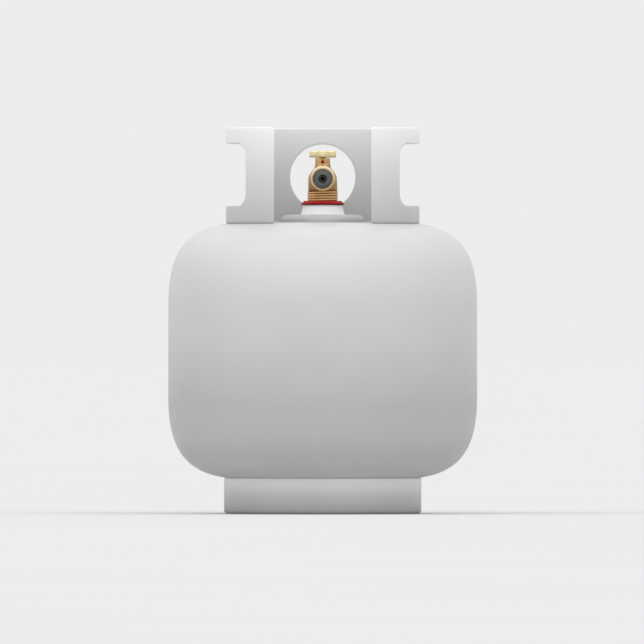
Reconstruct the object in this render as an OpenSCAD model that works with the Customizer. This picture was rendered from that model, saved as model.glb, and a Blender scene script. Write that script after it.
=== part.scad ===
// Refillable propane tank: a squat two-piece steel vessel on a foot ring, with a cut-away
// collar around a brass shut-off valve. Millimetres, +Z up, origin on the floor under the
// centre of the foot ring. The valve outlet faces -Y.

/* [Pressure vessel] */
// Outside radius of the straight wall
tank_r = 155; // [150:1:160]
// Height of the flat crown above the floor
crown_z = 291.9; // [288:0.1:298]
// Height of the flat bottom above the floor
bottom_z = 35; // [32:0.5:38]
// Radius of the flat middle of each head
head_flat_r = 79.5; // [78:0.5:82]
// Depth of each head, from its flat middle to the straight wall
head_depth = 82.4; // [80:0.2:86]
// Thickness of the steel of both heads
shell_t = 2.4; // [2:0.1:3]

/* [Foot ring] */
// Outside radius of the foot ring
foot_r = 99; // [96:0.5:102]
// Thickness of the foot ring's steel
foot_t = 2.8; // [2:0.1:3.5]
// Width of the inturned flange that stands on the floor
foot_flange_w = 10; // [8:0.5:14]
// Radius of each drain hole in the rear of the foot ring
drain_hole_r = 9; // [6:0.5:11]

/* [Collar] */
// Outside radius of the collar
collar_r = 97.1; // [96:0.1:99]
// Thickness of the collar's steel
collar_t = 3; // [2.5:0.1:3.5]
// Height of the collar's top edge above the floor
collar_top_z = 387.3; // [386:0.1:395]
// Width of the full-height opening in front of the valve
front_gap_w = 97.2; // [90:0.2:104]
// Width of each hand hole, along Y
hand_hole_w = 116.4; // [110:0.2:120]
// Height of each hand hole
hand_hole_h = 62.3; // [56:0.1:64]
// Corner radius of each hand hole
hand_hole_corner_r = 12; // [8:0.5:16]
// Radius of the round hole in the rear of the collar
rear_hole_r = 32.8; // [28:0.1:34]

/* [Valve boss] */
// Radius of the welded pad around the boss
pad_r = 42.4; // [40:0.1:46]
// Height of the pad above the crown
pad_h = 8.1; // [7:0.1:9]
// Height of the boss above the pad
boss_h = 9.8; // [9:0.1:11]

/* [Valve] */
// Radius of the outlet's threaded bore
outlet_bore_r = 9.9; // [9.7:0.05:10.1]
// Outside radius of the outlet
outlet_r = 12.75; // [12.5:0.05:13]
// Distance from the stem's axis to the outlet's face
outlet_reach = 30; // [28:0.5:34]

/* [Hidden] */

big = 400;             // longer than any cut needs
fine = 180;            // facets of a large circle
coarse = 64;           // facets of a small circle
fit = 0.05;            // radial gap of a running or threaded fit
eps = 0.06;            // gap between a weld's straight edge and the curved head
steps = 24;            // straight pieces of a head's shoulder
shoulder_reach = 61.6; // pull of the shoulder's curve along the crown
shoulder_rise = 48.9;  // pull of the shoulder's curve along the wall

// ---- Vessel ----
seam_z = (crown_z + bottom_z) / 2;
lip_r = tank_r - shell_t - 0.1;
lip_h = 12;
joggle_low = 7;        // the joggle starts this far below the seam
joggle_high = 2;       // and ends this far below it
joggle_skew = 1.5;     // offset between the joggle's outer and inner bends
root_gap = 1;          // height of the upper head's edge above the seam
bevel_t = 1;           // depth of the bevel on that edge, which the weld fills
bead_over = 4;         // height of the weld's upper toe above the seam
bead_h = 0.5;

// ---- Foot ring and collar ----
drain_hole_z = 18;
drain_hole_step = 52;
foot_inner_r = foot_r - foot_t;
collar_inner_r = collar_r - collar_t;
rear_hole_z = crown_z + 46.4;
hand_hole_mid_z = crown_z + 48.1;
stitch_leg = 4.5;
stitch_length_deg = 26;

// ---- Valve: every height is counted from the top of the boss ----
pad_top_z = crown_z + pad_h;
boss_top_z = pad_top_z + boss_h;
function up(h) = boss_top_z + h;

pad_round_r = 7;
pad_weld_leg = 1.8;
boss_r = 22.3;
boss_neck_r = 20.2;
boss_inside_h = 6;     // length of the boss below the crown's inner face
ring_h = 4.1;
ring_low_r = 21.6;
ring_high_r = 18.7;
ring_edge_h = 0.9;
ring_bore_r = 15.5;
shank_top_r = 15;
shank_low = -27;
shank_taper = 1 / 32;  // radius lost for each millimetre down, a 1:16 pipe thread
thread_core_r = 14.2;
thread_r = 15.3;
thread_pitch = 2.45;
thread_count = 4;
block_low = 14.3;
block_high = 24.7;
block_half = 14.5;
block_corner_r = 17.2;
tower_low = 37;
tower_r = 7.5;
tower_high = 46;
outlet_h = 26.1;
outlet_thread_l = 13;
seal_t = 3;
seal_groove_r = 10.65;
seal_hole_r = 4.4;
chamber_r = 5.6;
chamber_end = 6.2;
outlet_port_r = 2.5;
plunger_gap = 0.2;
plunger_head_r = 5.2;
plunger_head_t = 2;
plunger_nose_r = 3.8;
inlet_r = 8;
inlet_high = 10;
orifice_r = 3;
seat_h = 16.3;
cavity_r = 5.05;
seat_disc_r = 3.9;
bonnet_low = 40.2;
bonnet_high = 47;
bonnet_flange_r = 7.4;
stem_r = 3;
o_ring_wire_r = 0.6;
o_ring_low = 41.8;
o_ring_step = 2.2;
o_ring_groove_w = 1.5;
collar_low = 38.2;     // the stem's own collar, under the bonnet
stem_collar_r = 4.5;
tongue_w = 1.8;
tongue_l = 7;
tongue_low = 31.5;
square_w = 4.2;
square_high = 53;
screw_r = 1.45;
screw_l = 6.5;         // length of the handwheel screw's thread
screw_head_r = 3;
screw_head_t = 1.3;
hub_low = 47.3;
hub_high = 54.6;
hub_r = 6.6;
hub_foot_r = 7.3;
hub_foot_t = 1.2;
lobe_low = 47.7;
lobe_high = 54.2;
lobe_r = 4.2;
lobe_reach = 10.7;
web_w = 6;
web_inset = 0.8;
bleed_h = 43.1;
bleed_tip = 5.7;       // distance of the screw's inner end from the stem's axis
bleed_shaft_r = 1.2;
bleed_head_r = 1.7;
relief_h = 20.3;
relief_boss_r = 9;
relief_reach = 26;
relief_seat = 13;
relief_bore_r = 6.2;
relief_port_y = 9.2;
relief_port_r = 2.2;   // of the port under the relief disc
relief_gallery_r = 2;  // of the drilling up to it from the inlet
relief_disc_r = 4.5;
relief_plate_r = 5.6;
relief_stem_r = 1.5;
dip_y = 11.2;
dip_r = 1.6;
dip_bore_r = 0.9;
dip_depth = 58.8;      // depth of the open end below the crown, where the tank is four fifths full
housing_r = 8.8;
housing_l = 18;
housing_neck_l = 14;
float_pin_drop = 24;   // distance of the pivot below the shank
float_pin_r = 1.2;
poppet_rod_r = 1.5;
poppet_head_r = 4.6;
float_r = 9.5;
float_l = 42;
float_drop = 24;       // distance of the float's top below its pivot
float_swing = 55;

// A cubic curve through a and d, pulled towards b and c, and its slope
function curve(t, a, b, c, d) =
    pow(1 - t, 3) * a + 3 * pow(1 - t, 2) * t * b + 3 * (1 - t) * t * t * c + pow(t, 3) * d;
function curve_slope(t, a, b, c, d) =
    3 * pow(1 - t, 2) * (b - a) + 6 * (1 - t) * t * (c - b) + 3 * t * t * (d - c);

// A point of a head's shoulder as [radius, depth from the flat middle], moved inwards by inset
function head_point(t, inset) =
    let (
        r = curve(t, head_flat_r, head_flat_r + shoulder_reach, tank_r, tank_r),
        d = curve(t, 0, 0, head_depth - shoulder_rise, head_depth),
        run = curve_slope(t, head_flat_r, head_flat_r + shoulder_reach, tank_r, tank_r),
        fall = curve_slope(t, 0, 0, head_depth - shoulder_rise, head_depth),
        length = norm([run, fall])
    )
    [r - inset * fall / length, d + inset * run / length];
function shoulder(inset) = [for (i = [0:steps]) head_point(i / steps, inset)];
function reversed(list) = [for (i = [len(list) - 1:-1:0]) list[i]];
function from_crown(list) = [for (p = list) [p.x, crown_z - p.y]];
function from_bottom(list) = [for (p = list) [p.x, bottom_z + p.y]];

// How far a head has curved away from its flat middle at radius r
function head_drop(r) = lookup(r, shoulder(0));
foot_top_z = bottom_z + head_drop(foot_inner_r);
collar_low_z = crown_z - head_drop(collar_inner_r);

module ring(points) {
    rotate_extrude($fn = fine) polygon(points);
}

module ring_part(points, middle, sweep) {
    rotate_extrude(angle = sweep, start = middle - sweep / 2, $fn = fine) polygon(points);
}

module tube(r, z1, z2) {
    translate([0, 0, z1]) cylinder(r = r, h = z2 - z1, $fn = coarse);
}

// Children point along +Y from the stem's axis at the height h above the boss
module to_rear(h) {
    translate([0, 0, up(h)]) rotate([-90, 0, 0]) children();
}

module to_front(h) {
    translate([0, 0, up(h)]) rotate([90, 0, 0]) children();
}

module rounded_slab(w, h, r, l) {
    linear_extrude(l, center = true) {
        square([w - 2 * r, h], center = true);
        square([w, h - 2 * r], center = true);
        for (x = [-1, 1], y = [-1, 1])
            translate([x * (w / 2 - r), y * (h / 2 - r)]) circle(r, $fn = coarse);
    }
}

// A helical spring along +Z from z1 to z2
module coil_spring(r, wire_r, z1, z2, turns) {
    sides = 6;
    rings = turns * 14;
    climb = z2 - z1 - 2 * wire_r;
    points = [
        for (i = [0:rings], j = [0:sides - 1])
            let (
                a = 360 * turns * i / rings,
                b = 360 * j / sides,
                reach = r + wire_r * cos(b)
            )
            [reach * cos(a), reach * sin(a), z1 + wire_r + climb * i / rings + wire_r * sin(b)]
    ];
    walls = [
        for (i = [0:rings - 1], j = [0:sides - 1])
            let (k = (j + 1) % sides, n = i * sides)
            [n + j, n + sides + j, n + sides + k, n + k]
    ];
    start_cap = [for (j = [0:sides - 1]) j];
    end_cap = [for (j = [sides - 1:-1:0]) rings * sides + j];
    polyhedron(points, concat([start_cap], walls, [end_cap]), convexity = 6);
}

// ---- Vessel ----
module lower_head() {
    outside = concat(
        [[0, bottom_z]],
        from_bottom(shoulder(0)),
        [[tank_r, seam_z - joggle_low], [lip_r, seam_z - joggle_high], [lip_r, seam_z + lip_h]]
    );
    inside = concat(
        [
            [lip_r - shell_t, seam_z + lip_h],
            [lip_r - shell_t, seam_z - joggle_high - joggle_skew],
            [tank_r - shell_t, seam_z - joggle_low - joggle_skew]
        ],
        reversed(from_bottom(shoulder(shell_t))),
        [[0, bottom_z + shell_t]]
    );
    color("gainsboro") ring(concat(outside, inside));
}

module upper_head() {
    hole_r = boss_r + 2 * fit;
    outside = concat(
        [[hole_r, crown_z]],
        from_crown(shoulder(0)),
        [[tank_r, seam_z + bead_over], [tank_r - bevel_t, seam_z + root_gap]]
    );
    inside = concat(
        [[tank_r - shell_t, seam_z + root_gap]],
        reversed(from_crown(shoulder(shell_t))),
        [[hole_r, crown_z - shell_t]]
    );
    color("gainsboro") ring(concat(outside, inside));
}

// One bead fills the groove between the joggle and the bevel, and stands slightly proud
module girth_weld() {
    toe_to_toe = joggle_low + bead_over;
    cap_steps = 8;
    cap = [
        for (i = [0:cap_steps])
            [
                tank_r + bead_h * sin(180 * i / cap_steps),
                seam_z - joggle_low + toe_to_toe * i / cap_steps
            ]
    ];
    root = [
        [tank_r - bevel_t, seam_z + root_gap],
        [lip_r, seam_z + root_gap],
        [lip_r, seam_z - joggle_high]
    ];
    color("gainsboro") ring(concat(cap, root));
}

// ---- Foot ring ----
module foot_ring() {
    color("silver") difference() {
        ring([
            [foot_r - foot_flange_w, 0], [foot_r, 0], [foot_r, foot_top_z],
            [foot_inner_r, foot_top_z], [foot_inner_r, foot_t], [foot_r - foot_flange_w, foot_t]
        ]);
        for (turn = [-1:1])
            rotate([0, 0, turn * drain_hole_step])
                translate([0, 0, drain_hole_z]) rotate([-90, 0, 0])
                    cylinder(r = drain_hole_r, h = big, $fn = coarse);
    }
}

// Stitch welds in the corner between the foot ring's inside and the lower head
module foot_ring_welds() {
    tip_r = foot_inner_r - stitch_leg;
    corner_z = bottom_z + head_drop(foot_inner_r) - eps;
    tip_z = bottom_z + head_drop(tip_r) - eps;
    corner = [[foot_inner_r, corner_z], [tip_r, tip_z], [foot_inner_r, corner_z - stitch_leg]];
    color("gray") for (i = [0:5]) ring_part(corner, 60 * i, stitch_length_deg);
}

// ---- Collar ----
module collar() {
    color("lightgray") difference() {
        ring([
            [collar_inner_r, collar_low_z], [collar_r, collar_low_z],
            [collar_r, collar_top_z], [collar_inner_r, collar_top_z]
        ]);
        translate([-front_gap_w / 2, -big, 0]) cube([front_gap_w, big, big + collar_top_z]);
        translate([0, 0, hand_hole_mid_z]) rotate([90, 0, 90])
            rounded_slab(hand_hole_w, hand_hole_h, hand_hole_corner_r, big);
        translate([0, 0, rear_hole_z]) rotate([-90, 0, 0])
            cylinder(r = rear_hole_r, h = big, $fn = fine);
    }
}

// Stitch welds along the inside of the collar's foot, and outside at the sides and rear
module collar_welds() {
    function head_z(r) = crown_z - head_drop(r) + eps;
    inner_tip_r = collar_inner_r - stitch_leg;
    outer_tip_r = collar_r + stitch_leg;
    inner = [
        [collar_inner_r, head_z(collar_inner_r)],
        [collar_inner_r, head_z(collar_inner_r) + stitch_leg],
        [inner_tip_r, head_z(inner_tip_r)]
    ];
    outer = [
        [collar_r, head_z(collar_r)],
        [outer_tip_r, head_z(outer_tip_r)],
        [collar_r, head_z(collar_r) + stitch_leg]
    ];
    color("darkgray") {
        for (middle = [-45, 18, 66, 114, 162, 225]) ring_part(inner, middle, stitch_length_deg);
        for (middle = [42, 90, 138]) ring_part(outer, middle, stitch_length_deg);
    }
}

// ---- Boss ----
module boss_pad() {
    bore = boss_r + fit;
    corner_steps = 8;
    edge = [
        for (i = [0:corner_steps])
            let (a = 90 * i / corner_steps)
            [
                pad_r - pad_round_r + pad_round_r * cos(a),
                pad_top_z - pad_round_r + pad_round_r * sin(a)
            ]
    ];
    color("silver") ring(concat([[bore, crown_z], [pad_r, crown_z]], edge, [[bore, pad_top_z]]));
}

module boss_pad_weld() {
    color("silver")
        ring([[pad_r, crown_z], [pad_r + pad_weld_leg, crown_z], [pad_r, crown_z + pad_weld_leg]]);
}

function shank_r(h) = shank_top_r - (ring_h - h) * shank_taper;

// The boss flares out to the pad and carries the tapered thread
module valve_boss() {
    low_z = crown_z - shell_t - boss_inside_h;
    flare_steps = 8;
    flare = [
        for (i = [0:flare_steps])
            let (s = i / flare_steps)
            [boss_neck_r + (boss_r - boss_neck_r) * pow(1 - s, 2), pad_top_z + boss_h * s]
    ];
    bore = [
        [shank_r(0) + fit, boss_top_z],
        [shank_r(low_z - boss_top_z) + fit, low_z]
    ];
    color("whitesmoke") ring(concat([[boss_r, low_z]], flare, bore));
}

module neck_ring() {
    corner_steps = 6;
    bevel_h = ring_h - ring_edge_h;
    bevel = [
        for (i = [0:corner_steps])
            let (a = 90 * i / corner_steps)
            [
                ring_high_r + (ring_low_r - ring_high_r) * cos(a),
                boss_top_z + ring_edge_h + bevel_h * sin(a)
            ]
    ];
    color("firebrick")
        ring(concat([[ring_bore_r, boss_top_z], [ring_low_r, boss_top_z]], bevel,
            [[ring_bore_r, boss_top_z + ring_h]]));
}

// ---- Valve body ----
module shank_outside() {
    translate([0, 0, up(shank_low)])
        cylinder(r1 = shank_r(shank_low), r2 = shank_top_r, h = ring_h - shank_low, $fn = fine);
    translate([0, 0, up(ring_h)])
        cylinder(r = thread_core_r, h = block_low - ring_h, $fn = fine);
    crest = 0.5;
    for (i = [0:thread_count - 1]) {
        mid_z = up(ring_h + thread_pitch * (i + 0.5));
        ring([
            [thread_core_r - 1, mid_z - thread_pitch * 0.45],
            [thread_core_r, mid_z - thread_pitch * 0.45],
            [thread_r, mid_z - crest],
            [thread_r, mid_z + crest],
            [thread_core_r, mid_z + thread_pitch * 0.45],
            [thread_core_r - 1, mid_z + thread_pitch * 0.45]
        ]);
    }
}

// A square forging with rounded corners, whose shoulders curve in to the tower
module block_outside() {
    shoulder_steps = 10;
    slope = [
        for (i = [0:shoulder_steps])
            let (t = i / shoulder_steps)
            [
                curve(t, block_corner_r, block_half - 0.3, block_half - 4, tower_r + 0.1),
                up(curve(t, block_high - 3, block_high + 5.2, block_high + 9.3, tower_low))
            ]
    ];
    intersection() {
        translate([0, 0, up(block_low)])
            linear_extrude(tower_low - block_low)
                intersection() {
                    square(2 * block_half, center = true);
                    circle(block_corner_r, $fn = fine);
                }
        ring(concat([[0, up(block_low)], [block_corner_r + 1, up(block_low)],
            [block_corner_r + 1, up(block_high - 3)]], slope, [[0, up(tower_low)]]));
    }
}

module tower_outside() {
    flare_h = 2.2;
    flare_r = 8.2;
    translate([0, 0, up(tower_low - 1)])
        cylinder(r = tower_r, h = tower_high - tower_low + 1, $fn = coarse);
    translate([0, 0, up(tower_low)])
        cylinder(r1 = flare_r, r2 = tower_r, h = flare_h, $fn = coarse);
}

module valve_body() {
    seal_front = outlet_reach - outlet_thread_l;
    color("peru") difference() {
        union() {
            shank_outside();
            block_outside();
            tower_outside();
            to_front(outlet_h) cylinder(r = outlet_r, h = outlet_reach, $fn = fine);
            to_rear(relief_h) cylinder(r = relief_boss_r, h = relief_reach, $fn = coarse);
        }
        tube(inlet_r, up(shank_low - 1), up(inlet_high));
        tube(orifice_r, up(inlet_high - 1), up(seat_h + 1));
        tube(cavity_r, up(seat_h), up(tower_high + 1));
        to_front(outlet_h) {
            translate([0, 0, seal_front])
                cylinder(r = outlet_bore_r, h = outlet_reach, $fn = fine);
            translate([0, 0, seal_front - seal_t])
                cylinder(r = seal_groove_r, h = seal_t, $fn = fine);
            translate([0, 0, chamber_end])
                cylinder(r = chamber_r, h = seal_front - chamber_end, $fn = coarse);
            cylinder(r = outlet_port_r, h = seal_front - 1, $fn = coarse);
        }
        to_rear(relief_h) {
            translate([0, 0, relief_seat])
                cylinder(r = relief_bore_r, h = relief_reach, $fn = coarse);
            translate([0, 0, relief_port_y - 1])
                cylinder(r = relief_port_r, h = relief_seat, $fn = coarse);
        }
        translate([0, relief_port_y, 0]) tube(relief_gallery_r, up(inlet_high - 4), up(relief_h));
        translate([0, dip_y, 0]) tube(dip_r + fit, up(shank_low - 1), up(shank_low + 10));
        to_front(bleed_h)
            translate([0, 0, bleed_tip - 0.2])
                cylinder(r = bleed_shaft_r + fit, h = big, $fn = coarse);
    }
}

// ---- Outlet check ----
module outlet_seal() {
    color("dimgray") to_front(outlet_h) difference() {
        translate([0, 0, outlet_reach - outlet_thread_l - seal_t + fit])
            cylinder(r = seal_groove_r - fit, h = seal_t - 2 * fit, $fn = fine);
        cylinder(r = seal_hole_r, h = outlet_reach, $fn = coarse);
    }
}

plunger_front = outlet_reach - outlet_thread_l - seal_t - plunger_gap;

module check_plunger() {
    nose_l = 2.6;
    dimple_r = 1.8;
    dimple_depth = 1.4;
    color("darkslategray") to_front(outlet_h) difference() {
        union() {
            translate([0, 0, plunger_front - plunger_head_t])
                cylinder(r = plunger_head_r, h = plunger_head_t, $fn = coarse);
            translate([0, 0, plunger_front - 1])
                cylinder(r = plunger_nose_r, h = nose_l + 1, $fn = coarse);
        }
        translate([0, 0, plunger_front + nose_l - dimple_depth])
            cylinder(r = dimple_r, h = 2, $fn = coarse);
    }
}

module check_spring() {
    color("gainsboro") to_front(outlet_h)
        coil_spring(r = 4.4, wire_r = 0.35, z1 = chamber_end, z2 = plunger_front - plunger_head_t,
            turns = 3);
}

// ---- Stem and handwheel ----
function o_ring_h(i) = o_ring_low + o_ring_step * i;

module bonnet() {
    groove_r = stem_r + 2 * o_ring_wire_r + 2 * fit;
    color("goldenrod") difference() {
        union() {
            tube(cavity_r - fit, up(bonnet_low), up(tower_high + 0.5));
            tube(bonnet_flange_r, up(tower_high), up(bonnet_high));
        }
        tube(stem_r + fit, up(bonnet_low - 1), up(bonnet_high + 1));
        for (i = [0, 1])
            tube(groove_r, up(o_ring_h(i) - o_ring_groove_w / 2), up(o_ring_h(i) + o_ring_groove_w / 2));
    }
}

module stem_o_rings() {
    color("black") for (i = [0, 1])
        translate([0, 0, up(o_ring_h(i))])
            rotate_extrude($fn = coarse)
                translate([stem_r + fit + 0.02 + o_ring_wire_r, 0]) circle(o_ring_wire_r, $fn = 24);
}

module stem() {
    color("darkgoldenrod") difference() {
        union() {
            tube(stem_r, up(collar_low), up(hub_low));
            tube(stem_collar_r, up(collar_low), up(bonnet_low - 0.3));
            translate([-tongue_w / 2, -tongue_l / 2, up(tongue_low)])
                cube([tongue_w, tongue_l, collar_low - tongue_low + 0.5]);
            translate([-square_w / 2, -square_w / 2, up(hub_low - 1)])
                cube([square_w, square_w, square_high - hub_low + 1]);
        }
        tube(screw_r + fit, up(square_high - screw_l - 0.5), up(square_high + 1));
    }
}

// A three-lobed handwheel with one lobe over the outlet
module handwheel() {
    color("khaki") difference() {
        union() {
            tube(hub_r, up(hub_low), up(hub_high));
            tube(hub_foot_r, up(hub_low), up(hub_low + hub_foot_t));
            for (turn = [-90, 30, 150])
                rotate([0, 0, turn]) {
                    translate([lobe_reach, 0, 0]) tube(lobe_r, up(lobe_low), up(lobe_high));
                    translate([0, -web_w / 2, up(lobe_low + web_inset)])
                        cube([lobe_reach, web_w, lobe_high - lobe_low - 2 * web_inset]);
                }
        }
        hole_w = square_w + 2 * fit;
        translate([-hole_w / 2, -hole_w / 2, up(hub_low - 1)])
            cube([hole_w, hole_w, square_high - hub_low + 1.1]);
        tube(screw_head_r + 0.3, up(square_high), up(hub_high + 1));
    }
}

module handwheel_screw() {
    slot_w = 0.8;
    slot_depth = 0.6;
    head_high = square_high + screw_head_t;
    color("gray") difference() {
        union() {
            tube(screw_r, up(square_high - screw_l), up(square_high + 0.2));
            tube(screw_head_r, up(square_high), up(head_high));
        }
        translate([-screw_head_r, -slot_w / 2, up(head_high - slot_depth)])
            cube([2 * screw_head_r, slot_w, 1]);
    }
}

// ---- Seat plug, driven by the stem's tongue ----
module seat_plug() {
    disc_top = seat_h + 1.5;
    wide_low = 28;
    high = 34.8;
    slot_low = 28.2;
    slot_w = tongue_w + 0.3;
    slot_l = tongue_l + 0.4;
    color("darkkhaki") difference() {
        union() {
            tube(seat_disc_r, up(disc_top), up(wide_low));
            tube(cavity_r - 0.08, up(wide_low), up(high));
        }
        translate([-slot_w / 2, -slot_l / 2, up(slot_low)]) cube([slot_w, slot_l, high]);
    }
}

module seat_disc() {
    color("white") tube(seat_disc_r, up(seat_h + 0.25), up(seat_h + 1.5));
}

module bleed_screw() {
    head_near = 7.7;
    head_far = 9.1;
    slot_w = 0.6;
    color("red") to_front(bleed_h) difference() {
        union() {
            translate([0, 0, bleed_tip])
                cylinder(r = bleed_shaft_r, h = head_far - bleed_tip, $fn = coarse);
            translate([0, 0, head_near])
                cylinder(r = bleed_head_r, h = head_far - head_near, $fn = coarse);
        }
        translate([-bleed_head_r - 1, -slot_w / 2, head_far - slot_w])
            cube([2 * bleed_head_r + 2, slot_w, 1]);
    }
}

// ---- Relief valve, behind the body ----
relief_disc_low = relief_seat + 0.3;
relief_disc_high = relief_disc_low + 1.5;
relief_plate_high = relief_disc_high + 2.2;
relief_adjuster_low = 22.5;
relief_adjuster_high = 25.5;

module relief_disc() {
    color("black") to_rear(relief_h) translate([0, 0, relief_disc_low])
        cylinder(r = relief_disc_r, h = relief_disc_high - relief_disc_low, $fn = coarse);
}

module relief_poppet() {
    stem_end = 24;
    color("goldenrod") to_rear(relief_h) {
        translate([0, 0, relief_disc_high])
            cylinder(r = relief_plate_r, h = relief_plate_high - relief_disc_high, $fn = coarse);
        translate([0, 0, relief_disc_high + 1])
            cylinder(r = relief_stem_r, h = stem_end - relief_disc_high - 1, $fn = coarse);
    }
}

module relief_spring() {
    color("gainsboro") to_rear(relief_h)
        coil_spring(r = 4.2, wire_r = 0.5, z1 = relief_plate_high, z2 = relief_adjuster_low,
            turns = 4);
}

module relief_adjuster() {
    vent_reach = 4;
    vent_r = 1;
    color("goldenrod") to_rear(relief_h) difference() {
        translate([0, 0, relief_adjuster_low])
            cylinder(r = relief_bore_r - fit, h = relief_adjuster_high - relief_adjuster_low, $fn = coarse);
        cylinder(r = relief_stem_r + 0.3, h = big, $fn = coarse);
        for (turn = [0:60:300])
            rotate([0, 0, turn]) translate([vent_reach, 0, 0])
                cylinder(r = vent_r, h = big, $fn = coarse);
    }
}

module relief_cap() {
    inner_r = relief_boss_r + 0.08;
    rim = 20;
    wall = 1.2;
    end = relief_reach + 0.4;
    color("gold") to_rear(relief_h) difference() {
        translate([0, 0, rim]) cylinder(r = inner_r + wall, h = end + wall - rim, $fn = coarse);
        translate([0, 0, rim - 1]) cylinder(r = inner_r, h = end - rim + 1, $fn = coarse);
    }
}

// ---- Filling: level tube and overfill float ----
module dip_tube() {
    color("peru") translate([0, dip_y, 0]) difference() {
        tube(dip_r, crown_z - dip_depth, up(shank_low + 9.5));
        tube(dip_bore_r, crown_z - dip_depth - 1, up(shank_low + 11));
    }
}

pin_h = shank_low - float_pin_drop;

module float_housing() {
    body_low = shank_low - housing_l;
    neck_high = shank_low + housing_neck_l;
    guide_t = 3;
    seat_t = 4;
    room_r = 5.2;
    seat_r = 3.2;
    window_r = 2.8;
    ear_in = 4.2;
    ear_out = 6.4;
    ear_half = 4;
    ear_low = pin_h - 4;
    color("ivory") difference() {
        union() {
            tube(housing_r, up(body_low), up(shank_low));
            tube(inlet_r - fit, up(shank_low - 0.5), up(neck_high));
            for (side = [-1, 1])
                translate([side * (ear_in + ear_out) / 2, 0, up((ear_low + body_low + 1) / 2)])
                    cube([ear_out - ear_in, 2 * ear_half, body_low + 1 - ear_low], center = true);
        }
        tube(room_r, up(body_low + guide_t), up(neck_high - seat_t));
        tube(seat_r, up(neck_high - seat_t - 1), up(neck_high + 1));
        tube(poppet_rod_r + fit, up(body_low - 1), up(body_low + guide_t + 1));
        translate([0, 0, up(shank_low - housing_l / 2)]) rotate([0, 90, 0])
            cylinder(r = window_r, h = 3 * housing_r, center = true, $fn = coarse);
        translate([0, 0, up(pin_h)]) rotate([0, 90, 0])
            cylinder(r = float_pin_r + fit, h = 3 * housing_r, center = true, $fn = coarse);
    }
}

module float_poppet() {
    rod_low = pin_h + 3.5;
    head_low = shank_low + 5;
    color("dimgray") {
        tube(poppet_rod_r, up(rod_low), up(head_low + 0.5));
        tube(poppet_head_r, up(head_low), up(head_low + 2));
    }
}

module float_pin() {
    half_l = 7;
    color("silver") translate([0, 0, up(pin_h)]) rotate([0, 90, 0])
        cylinder(r = float_pin_r, h = 2 * half_l, center = true, $fn = coarse);
}

arm_half = 1.5;
arm_end = float_drop + 8;  // distance of the arm's end below the pivot, inside the float

// The hub carries a small cam that lifts the poppet as the float rises
module float_arm() {
    pivot_r = 3.2;
    hub_half = 3.9;
    cam_r = 1.2;
    cam_reach = 3.9;
    color("dimgray") translate([0, 0, up(pin_h)]) difference() {
        union() {
            rotate([0, 90, 0]) {
                cylinder(r = pivot_r, h = 2 * hub_half, center = true, $fn = coarse);
                rotate([0, 0, float_swing + 180]) translate([cam_reach, 0, 0])
                    cylinder(r = cam_r, h = 2 * hub_half, center = true, $fn = coarse);
            }
            translate([-arm_half, -arm_half, -arm_end])
                cube([2 * arm_half, 2 * arm_half, arm_end - 2]);
        }
        rotate([0, 90, 0])
            cylinder(r = float_pin_r + fit, h = 3 * hub_half, center = true, $fn = coarse);
    }
}

module float() {
    slot = arm_half + fit;
    end_r = 3;
    half_l = float_l / 2;
    color("black") translate([0, 0, up(pin_h) - float_drop - float_l]) difference() {
        rotate_extrude($fn = coarse) {
            square([float_r - end_r, float_l]);
            translate([0, end_r]) square([float_r, float_l - 2 * end_r]);
            for (z = [end_r, float_l - end_r])
                translate([float_r - end_r, z]) circle(end_r, $fn = coarse);
        }
        translate([-slot, -slot, float_l - (arm_end - float_drop) - fit])
            cube([2 * slot, 2 * slot, half_l]);
    }
}

lower_head();
upper_head();
girth_weld();
foot_ring();
foot_ring_welds();
collar();
collar_welds();
boss_pad();
boss_pad_weld();
valve_boss();
neck_ring();
valve_body();
outlet_seal();
check_plunger();
check_spring();
bonnet();
stem_o_rings();
stem();
handwheel();
handwheel_screw();
seat_plug();
seat_disc();
bleed_screw();
relief_poppet();
relief_disc();
relief_spring();
relief_adjuster();
relief_cap();
dip_tube();
float_housing();
float_poppet();
float_pin();
float_arm();
float();
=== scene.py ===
import itertools
import math
import random

import bmesh
import bpy
import numpy as np
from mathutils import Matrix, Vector
from mathutils.geometry import delaunay_2d_cdt


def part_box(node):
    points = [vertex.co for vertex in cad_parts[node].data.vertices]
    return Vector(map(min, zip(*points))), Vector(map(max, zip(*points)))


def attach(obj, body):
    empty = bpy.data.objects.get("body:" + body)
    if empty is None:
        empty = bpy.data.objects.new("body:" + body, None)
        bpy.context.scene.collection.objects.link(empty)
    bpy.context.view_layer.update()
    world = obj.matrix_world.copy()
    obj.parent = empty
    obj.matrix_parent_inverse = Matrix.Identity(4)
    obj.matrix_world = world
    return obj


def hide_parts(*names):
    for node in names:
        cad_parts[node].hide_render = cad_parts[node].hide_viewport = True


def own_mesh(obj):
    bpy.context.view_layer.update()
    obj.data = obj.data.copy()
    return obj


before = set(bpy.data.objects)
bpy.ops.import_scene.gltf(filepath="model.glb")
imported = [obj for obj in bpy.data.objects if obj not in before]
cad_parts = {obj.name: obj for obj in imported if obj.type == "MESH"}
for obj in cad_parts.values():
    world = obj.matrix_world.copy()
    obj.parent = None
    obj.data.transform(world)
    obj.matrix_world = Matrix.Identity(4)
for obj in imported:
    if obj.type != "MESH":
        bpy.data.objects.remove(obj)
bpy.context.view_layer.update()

MM = 0.001
TURN = 2 * math.pi
rng = random.Random(7)


# ---- sizes, from the frame
def box_mm(node):
    """A CAD node's lowest and highest corners, in millimetres."""
    low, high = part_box(node)
    return low / MM, high / MM


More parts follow.
